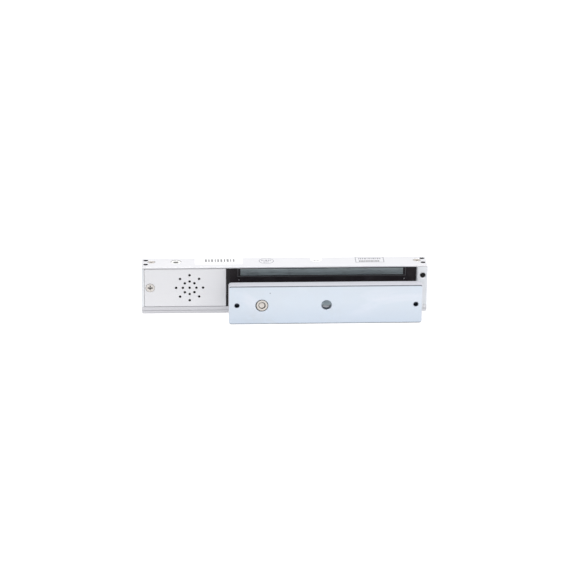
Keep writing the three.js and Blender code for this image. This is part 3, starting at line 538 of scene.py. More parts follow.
cast = metal(
    "machined_block", "cast_block",
    colour=(0.81, 0.83, 0.86), roughness=0.48, metallic=0.5,
    grain=(1500.0, 1500.0, 40.0), grain_depth=0.000012,
    shade=(0.73, 0.75, 0.79), edge_wear_and_sheen=(0.93, 0.94, 0.95), reach=0.007,
)
cast.relief(cast.noise(2600.0, detail=3.0), 0.00001, 0.4)

zinc = metal(
    "zinc_plate", "zinc_plate",
    colour=(0.635, 0.688, 0.757), roughness=0.42, metallic=0.7,
    grain=(26.0, 1400.0, 1400.0), grain_depth=0.000014,
    shade=(0.64, 0.71, 0.80), edge_wear_and_sheen=(0.74, 0.80, 0.88),
)
zinc_bloom = zinc.noise((11.0, 24.0, 24.0), detail=4.0, distortion=1.2)
zinc.blend(zinc.span(zinc_bloom, 0.52, 0.74, 0.0, 0.55), (0.80, 0.80, 0.87))
zinc_stain = zinc.noise(95.0, detail=5.0, roughness=0.7)
zinc.blend(zinc.span(zinc_stain, 0.66, 0.8, 0.0, 0.4), (0.55, 0.62, 0.70))
zinc.relief(zinc.noise(700.0, detail=4.0), 0.000018, 0.35)
# Painted shade: the plate darkens towards its bottom edge
zinc.blend(zinc.span(zinc.along("Z"), 0.021, 0.0, 0.0, 1.0), (0.57, 0.635, 0.725))


def beyond(axis, half, offset):
    """1 in the rim of the plate, that far from its edge along one axis, else 0."""
    middle = getattr((PLATE_LOW + PLATE_HIGH) / 2, axis.lower())
    away = zinc.reckon("ABSOLUTE", zinc.reckon("SUBTRACT", zinc.along(axis), middle))
    return zinc.span(away, half * MM - offset, half * MM - offset + 0.0001)


# Painted shade: the bevelled rim is toned greyer where it turns from the front, with a painted
# dark line where it meets the face
RIM = 0.0012
rim_z = beyond("Z", PLATE_H / 2, RIM)
rim = zinc.reckon("MAXIMUM", beyond("X", PLATE_L / 2, RIM), rim_z)
turned_away = zinc.span(zinc.reckon("ABSOLUTE", zinc.facing()), 0.95, 0.6, 0.0, 0.95)
zinc.blend(zinc.reckon("MULTIPLY", rim, turned_away), (0.66, 0.665, 0.715))
off_crease = zinc.reckon("ABSOLUTE", zinc.reckon("SUBTRACT", zinc.facing(), 0.68))
crease_shade = zinc.reckon("MULTIPLY", rim_z, zinc.span(off_crease, 0.34, 0.26))
zinc.blend(crease_shade, (0.11, 0.12, 0.14))

# Stains near the plate's low edge: place in the plate, radius, strength
for stain_x, stain_z, stain_r, stain_tone in (
    (24, 4, 14, 0.45), (39, 2, 7, 0.6), (29, 11, 6, 0.35), (96, 9, 16, 0.3),
):
    stain_at = PLATE_LOW + Vector((stain_x, 0, stain_z)) * MM
    stain = zinc.span(zinc.spot(stain_at, stain_r * MM), 0, 1, 0, stain_tone)
    zinc.blend(stain, (0.55, 0.585, 0.62))
# Painted shade: the plate's holes and pocket are darkened inside
zinc.blend(zinc.crevices(0.009, True, 0.92, 0.42), (0.10, 0.12, 0.155))

nickel = metal(
    "nickel", "nickel",
    colour=(0.62, 0.59, 0.565), roughness=0.32, metallic=0.75,
    grain=(1800.0, 1800.0, 1800.0), grain_depth=0.000005,
    shade=(0.60, 0.54, 0.48), edge_wear_and_sheen=(0.94, 0.92, 0.89),
    reach=0.0026, local=False,
)

resin = Look("potting_resin", "resin", (0.016, 0.0125, 0.015), 0.42, Specular_IOR_Level=0.2)
resin_flow = resin.noise(60.0, detail=3.0, distortion=0.8)
resin.blend(resin.span(resin_flow, 0.45, 0.75, 0.0, 0.8), (0.03, 0.026, 0.029))
resin_dust = resin.noise(1500.0, detail=3.0, roughness=0.8)
resin.blend(resin.span(resin_dust, 0.68, 0.82, 0.0, 0.5), (0.09, 0.085, 0.085))
# Painted highlight: the resin is lighter along its edges
resin.blend(resin.span(resin.edges(0.0003), 0, 1, 0, 0.8), (0.17, 0.17, 0.18))
resin.gloss(resin_flow, 0.38, 0.52)
resin.relief(resin_flow, 0.00025, 0.5)
resin.relief(resin_dust, 0.00002, 0.4)

core_steel = Look("core_steel", "core_steel", (0.26, 0.30, 0.315), 0.38, 0.8)
core_lines = core_steel.noise((22.0, 1500.0, 1500.0), detail=6.0, roughness=0.6)
core_steel.blend(core_steel.span(core_lines, 0.35, 0.75), (0.39, 0.435, 0.445))
core_clouds = core_steel.noise((70.0, 240.0, 240.0), detail=4.0, roughness=0.7)
core_steel.blend(core_steel.span(core_clouds, 0.5, 0.72, 0.0, 0.55), (0.13, 0.14, 0.14))
core_rust = core_steel.noise((140.0, 420.0, 420.0), detail=3.0)
core_steel.blend(core_steel.span(core_rust, 0.7, 0.82, 0.0, 0.5), (0.25, 0.17, 0.12))
# Painted light: the pole steel is lighter low down, behind the plate
lower_pole_light = core_steel.span(core_steel.along("Z"), 0.0172, 0.0166, 0.0, 0.75)
core_steel.blend(lower_pole_light, (0.52, 0.59, 0.61))
core_stack = core_steel.stripes("X", 2000.0, 0.4)
core_steel.gloss(core_lines, 0.3, 0.46)
core_steel.relief(core_stack, 0.00002, 0.35)
core_steel.relief(core_lines, 0.00001, 0.5)


def moulded(name, slot, colour, roughness, mottle=0.12, **sockets):
    """Moulded plastic with a fine texture and a slight change of tone."""
    look = Look(name, slot, colour, roughness, **sockets)
    patches = look.noise(120.0, detail=3.0)
    darker = tuple(value * (1 - mottle) for value in colour)
    look.blend(look.span(patches, 0.4, 0.7), darker)
    look.gloss(look.noise(420.0, detail=2.0), roughness - 0.05, roughness + 0.08)
    look.relief(look.noise(3200.0, detail=3.0), 0.00002, 0.4)
    return look


black_plastic = moulded(
    "black_plastic", "black_plastic", (0.019, 0.017, 0.019), 0.5, Specular_IOR_Level=0.3
)
# Painted shade: black cloth for the sheet that darkens the grille's holes
grille_shade_cloth = Look("grille_shade_cloth", "black_plastic", (0.008, 0.008, 0.009), 0.9)
screen_weave = grille_shade_cloth.stripes("X", 2400.0)
screen_cross = grille_shade_cloth.stripes("Z", 2400.0)
grille_shade_cloth.blend(grille_shade_cloth.span(screen_weave, 0.6, 1.0, 0.0, 0.6), (0.02, 0.02, 0.021))
grille_shade_cloth.gloss(screen_cross, 0.8, 0.95)
grille_shade_cloth.relief(screen_weave, 0.00005, 0.6)
grille_shade_cloth.relief(screen_cross, 0.00005, 0.6)

frame_plastic = moulded("frame_plastic", "black_plastic", (0.075, 0.077, 0.083), 0.4)
white_nylon = moulded("white_nylon", "white_nylon", (0.86, 0.86, 0.85), 0.45, 0.05)
paper = moulded("paper", "paper", (0.985, 0.985, 0.985), 0.4, 0.01)
# Painted light: the paper glows faintly, so the stickers read brighter than the metal
paper.shader.inputs["Emission Color"].default_value = (1, 1, 1, 1)
paper.shader.inputs["Emission Strength"].default_value = 0.07
ink = moulded("ink", "paper", (0.30, 0.30, 0.31), 0.6, 0.2)
pale_ink = moulded("pale_ink", "paper", (0.28, 0.28, 0.32), 0.6, 0.1)
faint_ink = moulded("faint_ink", "paper", (0.66, 0.66, 0.66), 0.6, 0.1)
terminal_green = moulded("terminal_green", "terminal_green", (0.025, 0.25, 0.07), 0.45)
relay_blue = moulded("relay_blue", "relay_blue", (0.014, 0.08, 0.32), 0.35)
varistor_blue = moulded("varistor_blue", "varistor_blue", (0.02, 0.15, 0.46), 0.38)
lead_red = moulded("lead_red", "lead_red", (0.45, 0.014, 0.014), 0.45)
lead_black = moulded("lead_black", "lead_black", (0.012, 0.012, 0.012), 0.45)
sensor_glass = moulded("sensor_glass", "glass", (0.6, 0.68, 0.66), 0.12, 0.1)

board_green = Look("board_green", "board_green", (0.012, 0.10, 0.035), 0.35)
board_tracks = board_green.add("ShaderNodeTexBrick")
board_tracks.inputs["Scale"].default_value = 260.0
board_tracks.inputs["Mortar Size"].default_value = 0.03
board_tracks.inputs["Color1"].default_value = (0.012, 0.10, 0.035, 1)
board_tracks.inputs["Color2"].default_value = (0.010, 0.085, 0.03, 1)
board_tracks.inputs["Mortar"].default_value = (0.03, 0.22, 0.07, 1)
board_green.join(board_green.place, board_tracks.inputs["Vector"])
board_green.join(
    board_tracks.outputs["Color"], board_green.shader.inputs["Base Color"]
)
board_green.relief(board_tracks.outputs["Fac"], 0.00003, 0.5)

can = metal(
    "capacitor_can", "can_aluminium", (0.62, 0.63, 0.66), 0.32, 0.9,
    (1200.0, 60.0, 1200.0), 0.00001, (0.5, 0.51, 0.54), (0.8, 0.8, 0.82),
)
tinned = metal(
    "tinned_steel", "tinned", (0.66, 0.67, 0.68), 0.28, 0.95,
    (900.0, 900.0, 900.0), 0.00001, (0.5, 0.51, 0.52), (0.85, 0.85, 0.86),
)
brass = metal(
    "brass", "brass", (0.63, 0.42, 0.13), 0.3, 0.95,
    (900.0, 90.0, 900.0), 0.00001, (0.5, 0.31, 0.08), (0.82, 0.64, 0.32),
)
spring_steel = metal(
    "spring_steel", "spring_steel", (0.46, 0.48, 0.5), 0.3, 0.95,
    (1500.0, 1500.0, 1500.0), 0.00001, (0.32, 0.33, 0.35), (0.7, 0.7, 0.72),
)
copper = metal(
    "copper_winding", "copper", (0.55, 0.2, 0.07), 0.3, 0.9,
    (60.0, 1400.0, 1400.0), 0.00001, (0.4, 0.12, 0.04), (0.7, 0.32, 0.14),
)
copper.relief(copper.stripes("Y", 2200.0), 0.00015, 0.8)

# ---------------------------------------------------------------- lock body

LOCK = HOUSING_LOW
BLOCK_Z = (LIP_H + FIT, CAVITY_TOP - FIT)
BLOCK_BACK = CAVITY_BACK - FIT
OVER = 3.0
DOWN = (0, 0, -1)
INWARD = (0, 1, 0)


def mouth(radius, depth, chamfer=0.25):
    """A round hole from a face inwards, with a broken edge."""
    return [
        (0, -OVER),
        (radius + chamfer + OVER, -OVER),
        (radius + chamfer, 0),
        (radius, chamfer),
        (radius, depth),
        (0, depth),
    ]


def screw_form(head_r, shank_r, cone, length, rim=0.25):
    """A countersunk head and shank as a profile from the head's face inwards."""
    return [
        (0, 0.06),
        (head_r * 0.5, 0.03),
        (head_r - 0.3, 0.0),
        (head_r - 0.08, 0.05),
        (head_r, 0.18),
        (head_r, rim),
        (shank_r, rim + cone),
        (shank_r, length),
        (0, length),
    ]


def sunk(head_r, shank_r, cone, length, rim=0.25, gap=0.24):
    """The hole a countersunk screw sits in, with a small break at its mouth."""
    return [
        (0, -OVER),
        (head_r + gap + 0.15 + OVER, -OVER),
        (head_r + gap + 0.12, 0.0),
        (head_r + gap, 0.12),
        (head_r + gap, rim + gap),
        (shank_r + gap, rim + cone + gap),
        (shank_r + gap, length + gap),
        (0, length + gap),
    ]


def cross_recess(centre, direction, width, depth, wing):
    """A cross recess that narrows towards its bottom."""
    turn = Vector(direction).to_track_quat("Z", "Y").to_matrix().to_4x4()
    arms = []
    for quarter in range(2):
        bm = bmesh.new()
        rings = []
        for along, half, thick in (
            (-1.0, width / 2 * 1.25, wing * 1.25),
            (0.35, width / 2, wing),
            (depth, width / 4, wing * 0.7),
        ):
            corners = ((-half, -thick), (half, -thick), (half, thick), (-half, thick))
            rings.append([bm.verts.new((u, v, along)) for u, v in corners])
        bm.faces.new(rings[0])
        bm.faces.new(rings[-1])
        for a, b in zip(rings, rings[1:]):
            for i in range(4):
                j = (i + 1) % 4
                bm.faces.new((a[i], a[j], b[j], b[i]))
        bmesh.ops.recalc_face_normals(bm, faces=bm.faces)
        spin = Matrix.Rotation(quarter * math.pi / 2, 4, "Z")
        bm.transform(Matrix.Translation(Vector(centre)) @ turn @ spin)
        arms.append(bm)
    return arms


TOP_SCREW = dict(head_r=3.3, shank_r=1.6, cone=1.7, length=8.0)
COVER_SCREW = dict(head_r=4.05, shank_r=2.0, cone=2.0, length=11.0)
top_screw_spots = [(x, TOP_SCREW_Y, BODY_H - 0.1) for x in TOP_SCREW_XS]
cover_screw_spot = (COVER_SCREW_X, 0.45, COVER_MID_Z)


def top_holes():
    """The four fixing holes near the ends, with a fine chamfer at the mouth."""
    profile = mouth(TOP_HOLE_R, TOP_WALL + 5, 0.1)
    return [
        turned(profile, (x, y, BODY_H), DOWN, 40) for x in TOP_HOLE_XS for y in TOP_HOLE_YS
    ]


# Housing: the channel, its lip grooves, holes and rounded ends
channel = prism(
    rounded((0, BODY_D), (0, BODY_H), (1.5, 1.5, 2.5, 0.3)), "x", 0, BODY_L
)
rounding = prism(rounded((0, BODY_L), (0, BODY_H), 2.0), "y", -OVER, BODY_D + OVER)
channel = boolean(channel, [rounding], "INTERSECT")
groove = [(-1, 2.9), (0.1, 2.9), (0.55, 3.1), (0.55, 3.7), (0.1, 3.9), (-1, 3.9)]
channel = boolean(
    channel,
    [
        block((-OVER, BODY_L + OVER), (-OVER, CAVITY_BACK), (LIP_H, CAVITY_TOP)),
        prism(groove, "x", -OVER, BODY_L + OVER),
        rod(WIRE_HOLE_R, (*WIRE_HOLE, CAVITY_TOP - 1), (*WIRE_HOLE, BODY_H + 1), 64),
        *top_holes(),
        *[turned(sunk(**TOP_SCREW), spot, DOWN) for spot in top_screw_spots],
        *[
            rod(FIX_BORE_R, (x, CAVITY_BACK - 1, FIX_BORE_Z), (x, BODY_D + 1, FIX_BORE_Z))
            for x in FIX_BORE_XS
        ],
    ],
)
settle("housing_channel", channel, LOCK, anodised, "lock_body", ["housing"], 0.18)

# End blocks
left = prism(
    [
        (0, 0.4), (0.4, 0), (END_STRIP, 0), (END_STRIP, 1.85), (BLOCK_W, 1.85),
        (BLOCK_W, BLOCK_BACK), (0, BLOCK_BACK),
    ],
    "z", *BLOCK_Z,
)
left = boolean(
    left,
    [
        *top_holes(),
        turned(sunk(**TOP_SCREW), top_screw_spots[0], DOWN),
        turned(sunk(**COVER_SCREW), cover_screw_spot, INWARD),
    ],
)
settle("left_block", left, LOCK, cast, "lock_body", ["end_block_left"], 0.2)

right = prism(
    [
        (RIGHT_FACE_X + 1.2, 0), (BODY_L - 0.5, 0), (BODY_L, 0.5),
        (BODY_L, BLOCK_BACK), (BODY_L - BLOCK_W, BLOCK_BACK), (BODY_L - BLOCK_W, 3.2),
        (RIGHT_FACE_X, 3.2), (RIGHT_FACE_X, 1.2),
    ],
    "z", *BLOCK_Z,
)
bore_mouth = mouth(FIX_BORE_R, BODY_D, 0.6)
right = boolean(
    right,
    [
        *top_holes(),
        turned(sunk(**TOP_SCREW), top_screw_spots[1], DOWN),
        turned(bore_mouth, (FIX_BORE_XS[1], 0, FIX_BORE_Z), INWARD),
    ],
)
settle("right_block", right, LOCK, cast, "lock_body", ["end_block_right"], 0.2)


def screw(name, shape, spot, direction, width, depth, wing, node):
    bm = turned(screw_form(**shape), spot, direction, 72)
    bm = boolean(bm, cross_recess(spot, direction, width, depth, wing))
    settle(name, bm, LOCK, nickel, "lock_body", [node], 0.06, 2, 30)


screw("cover_fixing", COVER_SCREW, cover_screw_spot, INWARD, 4.7, 2.0, 0.58, "cover_screw")
for side, spot in zip(("left", "right"), top_screw_spots):
    screw(
        f"top_fixing_{side}", TOP_SCREW, spot, DOWN, 3.8, 1.7, 0.55, f"top_screw_{side}"
    )

# Cover: chamfered sheet with the sounder's grille and a tongue at its far end
cover = prism(
    rounded((COVER_LOW.x, COVER_X1), (COVER_LOW.z, COVER_HIGH.z), 1.0), "y",
    COVER_LOW.y, COVER_HIGH.y,
)
front_edges = [
    edge for edge in cover.edges
    if all(abs(vert.co.y - COVER_LOW.y) < 1e-4 for vert in edge.verts)
]
bmesh.ops.bevel(
    cover, geom=front_edges, offset=0.55, segments=2, profile=0.6, affect="EDGES"
)
grille = [(GRILLE_X, COVER_MID_Z)]
for ring in GRILLE_RINGS:
    for i in range(8):
        angle = math.radians(45 * i)
        grille.append(
            (GRILLE_X + ring * math.cos(angle), COVER_MID_Z + ring * math.sin(angle))
        )
hole_form = [(0, -1), (GRILLE_HOLE_R, -1), (GRILLE_HOLE_R, 3), (0, 3)]
cover = boolean(
    cover,
    [
        turned(sunk(**COVER_SCREW), cover_screw_spot, INWARD),
        *[turned(hole_form, (x, COVER_LOW.y, z), INWARD, 32) for x, z in grille],
    ],
)
tongue = block(
    (COVER_X1 - 1, COVER_HIGH.x),
    (COVER_HIGH.y - 0.7, COVER_HIGH.y),
    (COVER_MID_Z - 8, COVER_MID_Z + 8),
)
cover = boolean(cover, [tongue], "UNION")
settle("cover_sheet", cover, LOCK, cover_skin, "lock_body", ["cover_plate"], 0.05)

# Painted shade: a black cloth sheet behind the grille, which darkens its holes
shade_sheet = turned(
    [
        (0, 0), (SHADE_SHEET_R - 0.2, 0), (SHADE_SHEET_R, 0.08), (SHADE_SHEET_R, 0.3),
        (SHADE_SHEET_R - 0.1, 0.35), (0, 0.35),
    ],
    (GRILLE_X, COVER_HIGH.y + 0.02, COVER_MID_Z), INWARD, 72,
)
settle("grille_shade_sheet", shade_sheet, LOCK, grille_shade_cloth, "lock_body", None)

# Divider, resin and magnet core
divider_low, divider_high = packed_box("divider")
DIVIDER_X = (divider_high.x - 3.0, divider_high.x)
divider = prism(
    [
        (DIVIDER_X[0], 0.5), (DIVIDER_X[1], 0.5), (DIVIDER_X[1], BLOCK_BACK),
        (DIVIDER_X[0], BLOCK_BACK), (DIVIDER_X[0], 3.95), (divider_low.x, 3.95),
        (divider_low.x, 1.85), (DIVIDER_X[0], 1.85),
    ],
    "z", *BLOCK_Z,
)


def lead_bores(start_x, end_x):
    """The tunnels for the two winding leads, between two places along the lock."""
    ends = [((start_x, LEAD_Y, z), (end_x, LEAD_Y, z)) for z in LEAD_ZS]
    return [rod(LEAD_BORE_R, start, end, 24) for start, end in ends]


divider = boolean(
    divider,
    [
        block(
            (DIVIDER_X[0] - 0.05, COVER_HIGH.x + FIT),
            (1.0, 2.0),
            (COVER_MID_Z - 8.15, COVER_MID_Z + 8.15),
        ),
        *lead_bores(DIVIDER_X[0] - 1, DIVIDER_X[1] + 1),
    ],
)
settle("bay_divider", divider, LOCK, black_plastic, "lock_body", ["divider"], 0.15)


def core_outline(grow):
    """The E section, or the same grown all round as the space it sits in."""
    front = -OVER if grow else CORE_LOW.y
    low = CORE_LOW.z - (OVER if grow else 0)
    high = CORE_HIGH.z + grow
    back = CORE_HIGH.y + grow
    slot = SLOT_BACK - grow
    inner = CENTRE_HALF + grow
    outer = CENTRE_HALF + SLOT_H - grow
    up = [CORE_MID_Z + inner, CORE_MID_Z + outer]
    down = [CORE_MID_Z - outer, CORE_MID_Z - inner]
    return [
        (front, low), (back, low), (back, high), (front, high),
        (front, up[1]), (slot, up[1]), (slot, up[0]), (front, up[0]),
        (front, down[1]), (slot, down[1]), (slot, down[0]), (front, down[0]),
    ]


core = prism(core_outline(0), "x", CORE_LOW.x, CORE_HIGH.x)
settle("pole_stack", core, LOCK, core_steel, "lock_body", ["magnet_core"], 0.22)

RESIN_LOW, RESIN_HIGH = packed_box("potting_resin")
resin_step = BODY_L - BLOCK_W - 0.2
fill = prism(
    [
        (RESIN_LOW.x, RESIN_LOW.y), (RESIN_HIGH.x, RESIN_LOW.y), (RESIN_HIGH.x, 3.0),
        (resin_step, 3.0), (resin_step, BLOCK_BACK), (RESIN_LOW.x, BLOCK_BACK),
    ],
    "z", RESIN_LOW.z, RESIN_HIGH.z,
)
TAP_PIN_XS = (CORE_LOW.x - TAP_PIN_GAP, CORE_HIGH.x + TAP_PIN_GAP)
FRAME_XS = (CORE_LOW.x - FRAME_SIDE, CORE_HIGH.x + FRAME_SIDE)


def pole_border(low, high):
    """The sunk frame around a pole where the resin was masked."""
    sunk_z = (low - FRAME_MARGIN, high + FRAME_MARGIN)
    return block(FRAME_XS, (-OVER, RESIN_LOW.y + 0.25), sunk_z)


room_half = CENTRE_HALF + WINDING_ROOM
winding_room = prism(
    rounded(
        (CORE_LOW.x - WINDING_ROOM, CORE_HIGH.x + WINDING_ROOM),
        (CORE_MID_Z - room_half, CORE_MID_Z + room_half), 4.0,
    ),
    "y", 1.9, SLOT_BACK,
)
fill = boolean(
    fill,
    [
        prism(core_outline(FIT), "x", CORE_LOW.x - FIT, CORE_HIGH.x + FIT),
        winding_room,
        *[pole_border(low, high) for low, high, _ in POLES],
        *[rod(0.6, (x, -1, TAP_PIN_Z), (x, 2.1, TAP_PIN_Z), 24) for x in TAP_PIN_XS],
        *lead_bores(RESIN_LOW.x - 1, CORE_LOW.x - 5.3),
    ],
)
settle("resin_fill", fill, LOCK, resin, "lock_body", ["potting_resin"], 0.12)

# Moulded frames around the poles, flush with the resin
ribs = []
for low, high, margin in POLES:
    rib_z = (max(low - margin, RESIN_LOW.z + 0.2), min(high + margin, RESIN_HIGH.z - 0.2))
    rib_y = (RESIN_LOW.y - 0.02, RESIN_LOW.y + 0.24)
    hole_x = (FRAME_XS[0] + FRAME_RIB, FRAME_XS[1] - FRAME_RIB)
    hole_z = (rib_z[0] + FRAME_RIB, rib_z[1] - FRAME_RIB)
    ribs.append(
        boolean(block(FRAME_XS, rib_y, rib_z), [block(hole_x, (-OVER, 9), hole_z)])
    )
settle("pole_frames", gather(ribs), LOCK, frame_plastic, "lock_body", None, 0.06)

for side, x in zip(("left", "right"), TAP_PIN_XS):
    tip = [(0, 0), (0.3, 0.02), (0.45, 0.18), (0.45, 1.5), (0, 1.5)]
    bm = turned(tip, (x, 0.4, TAP_PIN_Z), INWARD, 24)
    settle(f"tap_{side}", bm, LOCK, tinned, "lock_body", [f"tap_pin_{side}"])

# Wire grommet
grommet = turned(
    [
        (2.5, 0.4), (2.65, 0.1), (2.9, 0), (4.6, 0), (4.85, 0.25), (4.85, 1.15),
        (5.3, 1.15), (4.85, 4.6), (3.1, 4.6), (3.1, 1.0), (2.5, 0.7), (2.5, 0.4),
    ],
    (*WIRE_HOLE, BODY_H - 0.2), DOWN,
)
grommet = boolean(
    grommet,
    [
        rod(
            0.7,
            (WIRE_HOLE[0] + side * 3.85, WIRE_HOLE[1], BODY_H + 1),
            (WIRE_HOLE[0] + side * 3.85, WIRE_HOLE[1], BODY_H - 1.7),
            24,
        )
        for side in (-1, 1)
    ],
)
settle("grommet", grommet, LOCK, white_nylon, "lock_body", ["wire_grommet"], 0.08)


def bars(start, end, y, widths, gap):
    """Plain upright bars in a row, of the given widths over and over, as boxes in x and y."""
    x = start
    turn = 0
    row = []
    while x + widths[turn % len(widths)] <= end:
        width = widths[turn % len(widths)]
        row.append(((x, x + width), y))
        x += width + gap
        turn += 1
    return row


def printed(name, boxes, z, look):
    marks = gather([block(x, y, (z - INK_T / 2, z + INK_T)) for x, y in boxes])
    settle(name, marks, LOCK, look, "lock_body", None)


# Stickers
label_low, label_high = packed_box("label_sticker")
label = prism(
    rounded((label_low.x, label_high.x), (label_low.y, label_high.y), 0.8), "z",
    label_low.z, label_high.z - INK_T,
)
settle("label", label, LOCK, paper, "lock_body", ["label_sticker"], 0.04, 2)
seal_low, seal_high = packed_box("seal_sticker")
seal_mid = (seal_low + seal_high) / 2
seal = rod(
    (seal_high.x - seal_low.x) / 2,
    (seal_mid.x, seal_mid.y, seal_low.z),
    (seal_mid.x, seal_mid.y, seal_high.z),
    72,
)
settle("seal", seal, LOCK, paper, "lock_body", ["seal_sticker"], 0.04, 2)

# Generic printing: bars on the stickers, a ring and a framed panel on the metal
sticker_top = label_high.z - INK_T
printed(
    "label_bars",
    bars(59.3, 87.6, (12.9, 20.0), (2.0, 1.5, 2.2, 1.3, 1.8), 1.15), sticker_top, ink,
)
printed(
    "label_fine_bars",
    bars(63.6, 81.2, (9.2, 12.2), (0.9, 1.4, 0.7), 0.8), sticker_top, faint_ink,
)
printed("seal_bars", bars(160.6, 167.4, (13.6, 15.4), (0.6, 1.4), 0.6), sticker_top, faint_ink)

STAMP_X = 117.0
STAMP_Y = 14.8
STAMP_RS = (6.45, 7.0)
stamp = turned(
    [
        (STAMP_RS[0], -INK_T / 2), (STAMP_RS[1], -INK_T / 2), (STAMP_RS[1], INK_T),
        (STAMP_RS[0], INK_T), (STAMP_RS[0], -INK_T / 2),
    ],
    (STAMP_X, STAMP_Y, BODY_H), (0, 0, 1), 72,
)
settle("stamp_ring", stamp, LOCK, pale_ink, "lock_body", None)
printed(
    "stamp_bars",
    bars(STAMP_X - 4.6, STAMP_X + 4.6, (15.2, 17.6), (1.2, 0.7, 1.8), 0.9)
    + bars(STAMP_X - 2.6, STAMP_X + 2.8, (11.0, 13.2), (0.9, 0.5), 0.6),
    BODY_H, pale_ink,
)
FRAME_X = (200.8, 227.8)
FRAME_Y = (9.2, 22.6)
FRAME_LINE = 0.6
printed(
    "panel_frame",
    [
        (FRAME_X, (FRAME_Y[0], FRAME_Y[0] + FRAME_LINE)),
        (FRAME_X, (FRAME_Y[1] - FRAME_LINE, FRAME_Y[1])),
        ((FRAME_X[0], FRAME_X[0] + FRAME_LINE), FRAME_Y),
        ((FRAME_X[1] - FRAME_LINE, FRAME_X[1]), FRAME_Y),
    ]
    + bars(FRAME_X[0] + 3, FRAME_X[1] - 3, (17.0, 20.0), (0.8, 1.3, 1.0, 1.8), 0.8),
    BODY_H, pale_ink,
)
printed(
    "panel_bars",
    bars(FRAME_X[0] + 3.2, FRAME_X[1] - 3.0, (10.8, 14.0), (1.7, 2.4, 1.1, 2.0), 0.4),
    BODY_H, ink,
)

# ---------------------------------------------------------------- armature

ARMATURE = PLATE_LOW
plate = prism(rounded((0, PLATE_L), (0, PLATE_H), 2.5, 10), "y", 0, PLATE_T)
face_edges = [
    edge for edge in plate.edges
    if abs(edge.verts[0].co.y - edge.verts[1].co.y) < 1e-4
]
bmesh.ops.bevel(
    plate, geom=face_edges, offset=0.9, segments=3, profile=0.42, affect="EDGES"
)


def plate_hole(profile, x, segments=64, back=False):
    """A hole in the plate, from its front or from the side that meets the magnet."""
    start = (x, PLATE_T if back else 0, HOLE_Z)
    return turned(profile, start, (0, -1, 0) if back else INWARD, segments)


guide_bottom = mouth(GUIDE_HOLE_R, 7.2, 0.5)[:-1] + [(0, 8.0)]
PIT = (38.3, 0, 31.0)
pit_form = [(0, -1), (2.3, -1), (0.55, 0.0), (0.3, 0.35), (0, 0.5)]
plate = boolean(
    plate,
    [
        plate_hole(guide_bottom, BOLT_X - GUIDE_REACH),
        plate_hole(guide_bottom, BOLT_X + GUIDE_REACH),
        plate_hole(mouth(BOLT_HOLE_R, PLATE_T + 1, 0.55), BOLT_X),
        plate_hole(mouth(7.8, 5, 0.35), BOLT_X, 72, True),
        plate_hole(mouth(5.95, 8.2, 0.15), PIN_X),
        plate_hole(mouth(PIN_R + 0.1, 4, 0.2), PIN_X, 48, True),
        turned(pit_form, PIT, INWARD, 24),
    ],
)
settle("strike_plate", plate, ARMATURE, zinc, "armature", ["armature_plate"], 0.05)

# The ring sits low in its pocket, as far as its clearance lets it
RING_AT = (PIN_X + 0.25, 0, HOLE_Z - 0.36)
bushing = turned(
    [
        (3.15, 1.5), (3.3, 1.3), (5.1, 1.15), (5.5, 1.5), (5.5, 3.4), (3.15, 3.4),
        (3.15, 1.5),
    ],
    RING_AT, INWARD, 72,
)
settle("bushing_ring", bushing, ARMATURE, nickel, "armature", ["pin_bushing"], 0.06)

pin = turned(
    [
        (0, 0.4), (1.8, 0.42), (2.35, 0.55), (2.62, 0.85), (PIN_R, 1.2),
        (PIN_R, 6.95), (COLLAR_R - 0.1, 6.95), (COLLAR_R, 7.05), (COLLAR_R, 8.05),
        (COLLAR_R - 0.1, 8.15), (PIN_R, 8.15), (PIN_R, 12.2), (2.5, 12.6),
        (2.0, 12.78), (0, 12.8),
    ],
    (PIN_X, 0, HOLE_Z), INWARD, 72,
)
settle("pin_body", pin, ARMATURE, nickel, "release_pin", ["release_pin"])

coil = []
SPRING_STEPS = 150
for step in range(SPRING_STEPS + 1):
    share = step / SPRING_STEPS
    angle = share * SPRING_TURNS * 2 * math.pi
    x = PIN_X + SPRING_R * math.cos(angle)
    z = HOLE_Z + SPRING_R * math.sin(angle)
    coil.append(Vector((x, SPRING_YS[0] + (SPRING_YS[1] - SPRING_YS[0]) * share, z)))
settle(
    "spring_wire", swept(coil, 0.35), ARMATURE, spring_steel, "armature", ["release_spring"]
)

# ---------------------------------------------------------------- inside pieces

INSIDE = {
    "bobbin": white_nylon,
    "winding": copper,
    "circuit_board": board_green,
    "buzzer": black_plastic,
    "terminal_block": terminal_green,
    "relay": relay_blue,
    "capacitor": can,
    "varistor": varistor_blue,
    "diode": black_plastic,
    "door_sensor": sensor_glass,
    "jumper_header": brass,
    "jumper_cap": black_plastic,
    "control_chip": black_plastic,
    "winding_lead_a": lead_red,
    "winding_lead_b": lead_black,
}
for number in range(1, 5):
    INSIDE[f"standoff_{number}"] = brass
    INSIDE[f"board_screw_{number}"] = tinned
    INSIDE[f"terminal_screw_{number}"] = tinned
for node, look in INSIDE.items():
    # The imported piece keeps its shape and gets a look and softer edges
    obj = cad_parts[node]
    obj.data.materials.clear()
    obj.data.materials.append(look.material)
    soften = obj.modifiers.new("edge", "BEVEL")
    soften.width = 0.00008
    soften.segments = 2
    soften.limit_method = "ANGLE"
    soften.angle_limit = math.radians(40)

# ---------------------------------------------------------------- stage

scene = bpy.context.scene
scene.view_settings.view_transform = "Standard"

WORLD_DIFFUSE = 0.62
FLOOR_TONE = 0.6
FLOOR_GLOW = 0.62
WHITE = (1, 1, 1, 1)


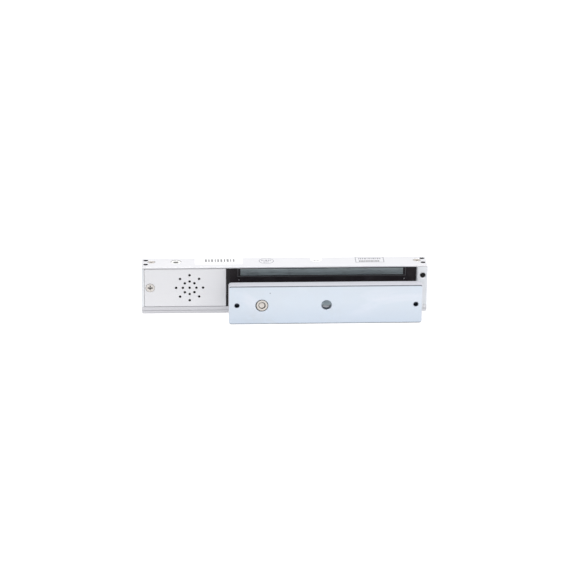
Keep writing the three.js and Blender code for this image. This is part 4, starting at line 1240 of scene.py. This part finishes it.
def seen(tree):
    """1 for rays that show the background: from the camera, gloss or clear pieces."""
    path = tree.nodes.new("ShaderNodeLightPath")
    total = path.outputs["Is Camera Ray"]
    for name in ("Is Glossy Ray", "Is Transmission Ray"):
        either = tree.nodes.new("ShaderNodeMath")
        either.operation = "MAXIMUM"
        tree.links.new(total, either.inputs[0])
        tree.links.new(path.outputs[name], either.inputs[1])
        total = either.outputs["Value"]
    return total


def studio_world():
    """White where it is seen, dimmer as a light on the object."""
    world = bpy.data.worlds.new("studio")
    scene.world = world
    world.use_nodes = True
    tree = world.node_tree
    background = tree.nodes["Background"]
    background.inputs["Color"].default_value = WHITE
    level = tree.nodes.new("ShaderNodeMapRange")
    level.inputs["To Min"].default_value = WORLD_DIFFUSE
    level.inputs["To Max"].default_value = 1.0
    tree.links.new(seen(tree), level.inputs["Value"])
    tree.links.new(level.outputs["Result"], background.inputs["Strength"])


def studio_floor():
    """A pale floor that takes the object's shadow."""
    bpy.ops.mesh.primitive_plane_add(size=12, location=(0, 0, 0))
    floor = bpy.context.object
    floor.name = "floor"
    look = bpy.data.materials.new("floor")
    look.use_nodes = True
    floor.data.materials.append(look)
    tree = look.node_tree
    shader = tree.nodes["Principled BSDF"]
    shader.inputs["Base Color"].default_value = (FLOOR_TONE, FLOOR_TONE, FLOOR_TONE, 1)
    shader.inputs["Roughness"].default_value = 0.9
    shader.inputs["Specular IOR Level"].default_value = 0.1
    shader.inputs["Emission Color"].default_value = WHITE
    glow = tree.nodes.new("ShaderNodeMath")
    glow.operation = "MULTIPLY"
    glow.inputs[1].default_value = FLOOR_GLOW
    tree.links.new(seen(tree), glow.inputs[0])
    tree.links.new(glow.outputs["Value"], shader.inputs["Emission Strength"])


def lamp(name, place, target, size, watts, colour=(1, 1, 1)):
    light = bpy.data.lights.new(name, "AREA")
    light.shape = "RECTANGLE"
    light.size, light.size_y = size
    light.energy = watts
    light.color = colour
    obj = bpy.data.objects.new(name, light)
    obj.location = place
    aim = Vector(target) - Vector(place)
    obj.rotation_euler = aim.to_track_quat("-Z", "Y").to_euler()
    scene.collection.objects.link(obj)


studio_world()
studio_floor()
lamp("key", (-0.7, -0.9, 1.7), (0, 0, 0), (1.2, 1.2), 7.0)
lamp("overhead", (0.0, -0.006, 1.3), (0, -0.006, 0), (1.5, 0.3), 9.8)
lamp("fill", (1.4, -1.1, 0.8), (0, 0, 0), (1.0, 1.0), 3.0, (0.97, 0.98, 1.0))

camera_data = bpy.data.cameras.new("camera")
camera_data.lens = 142.1
camera_data.sensor_width = 36.0
camera_data.clip_end = 20.0
camera = bpy.data.objects.new("camera", camera_data)
camera.location = (-0.1042, -2.00926, 0.84865)
camera.rotation_euler = tuple(math.radians(a) for a in (67.599, -0.568, -2.724))
scene.collection.objects.link(camera)
scene.camera = camera
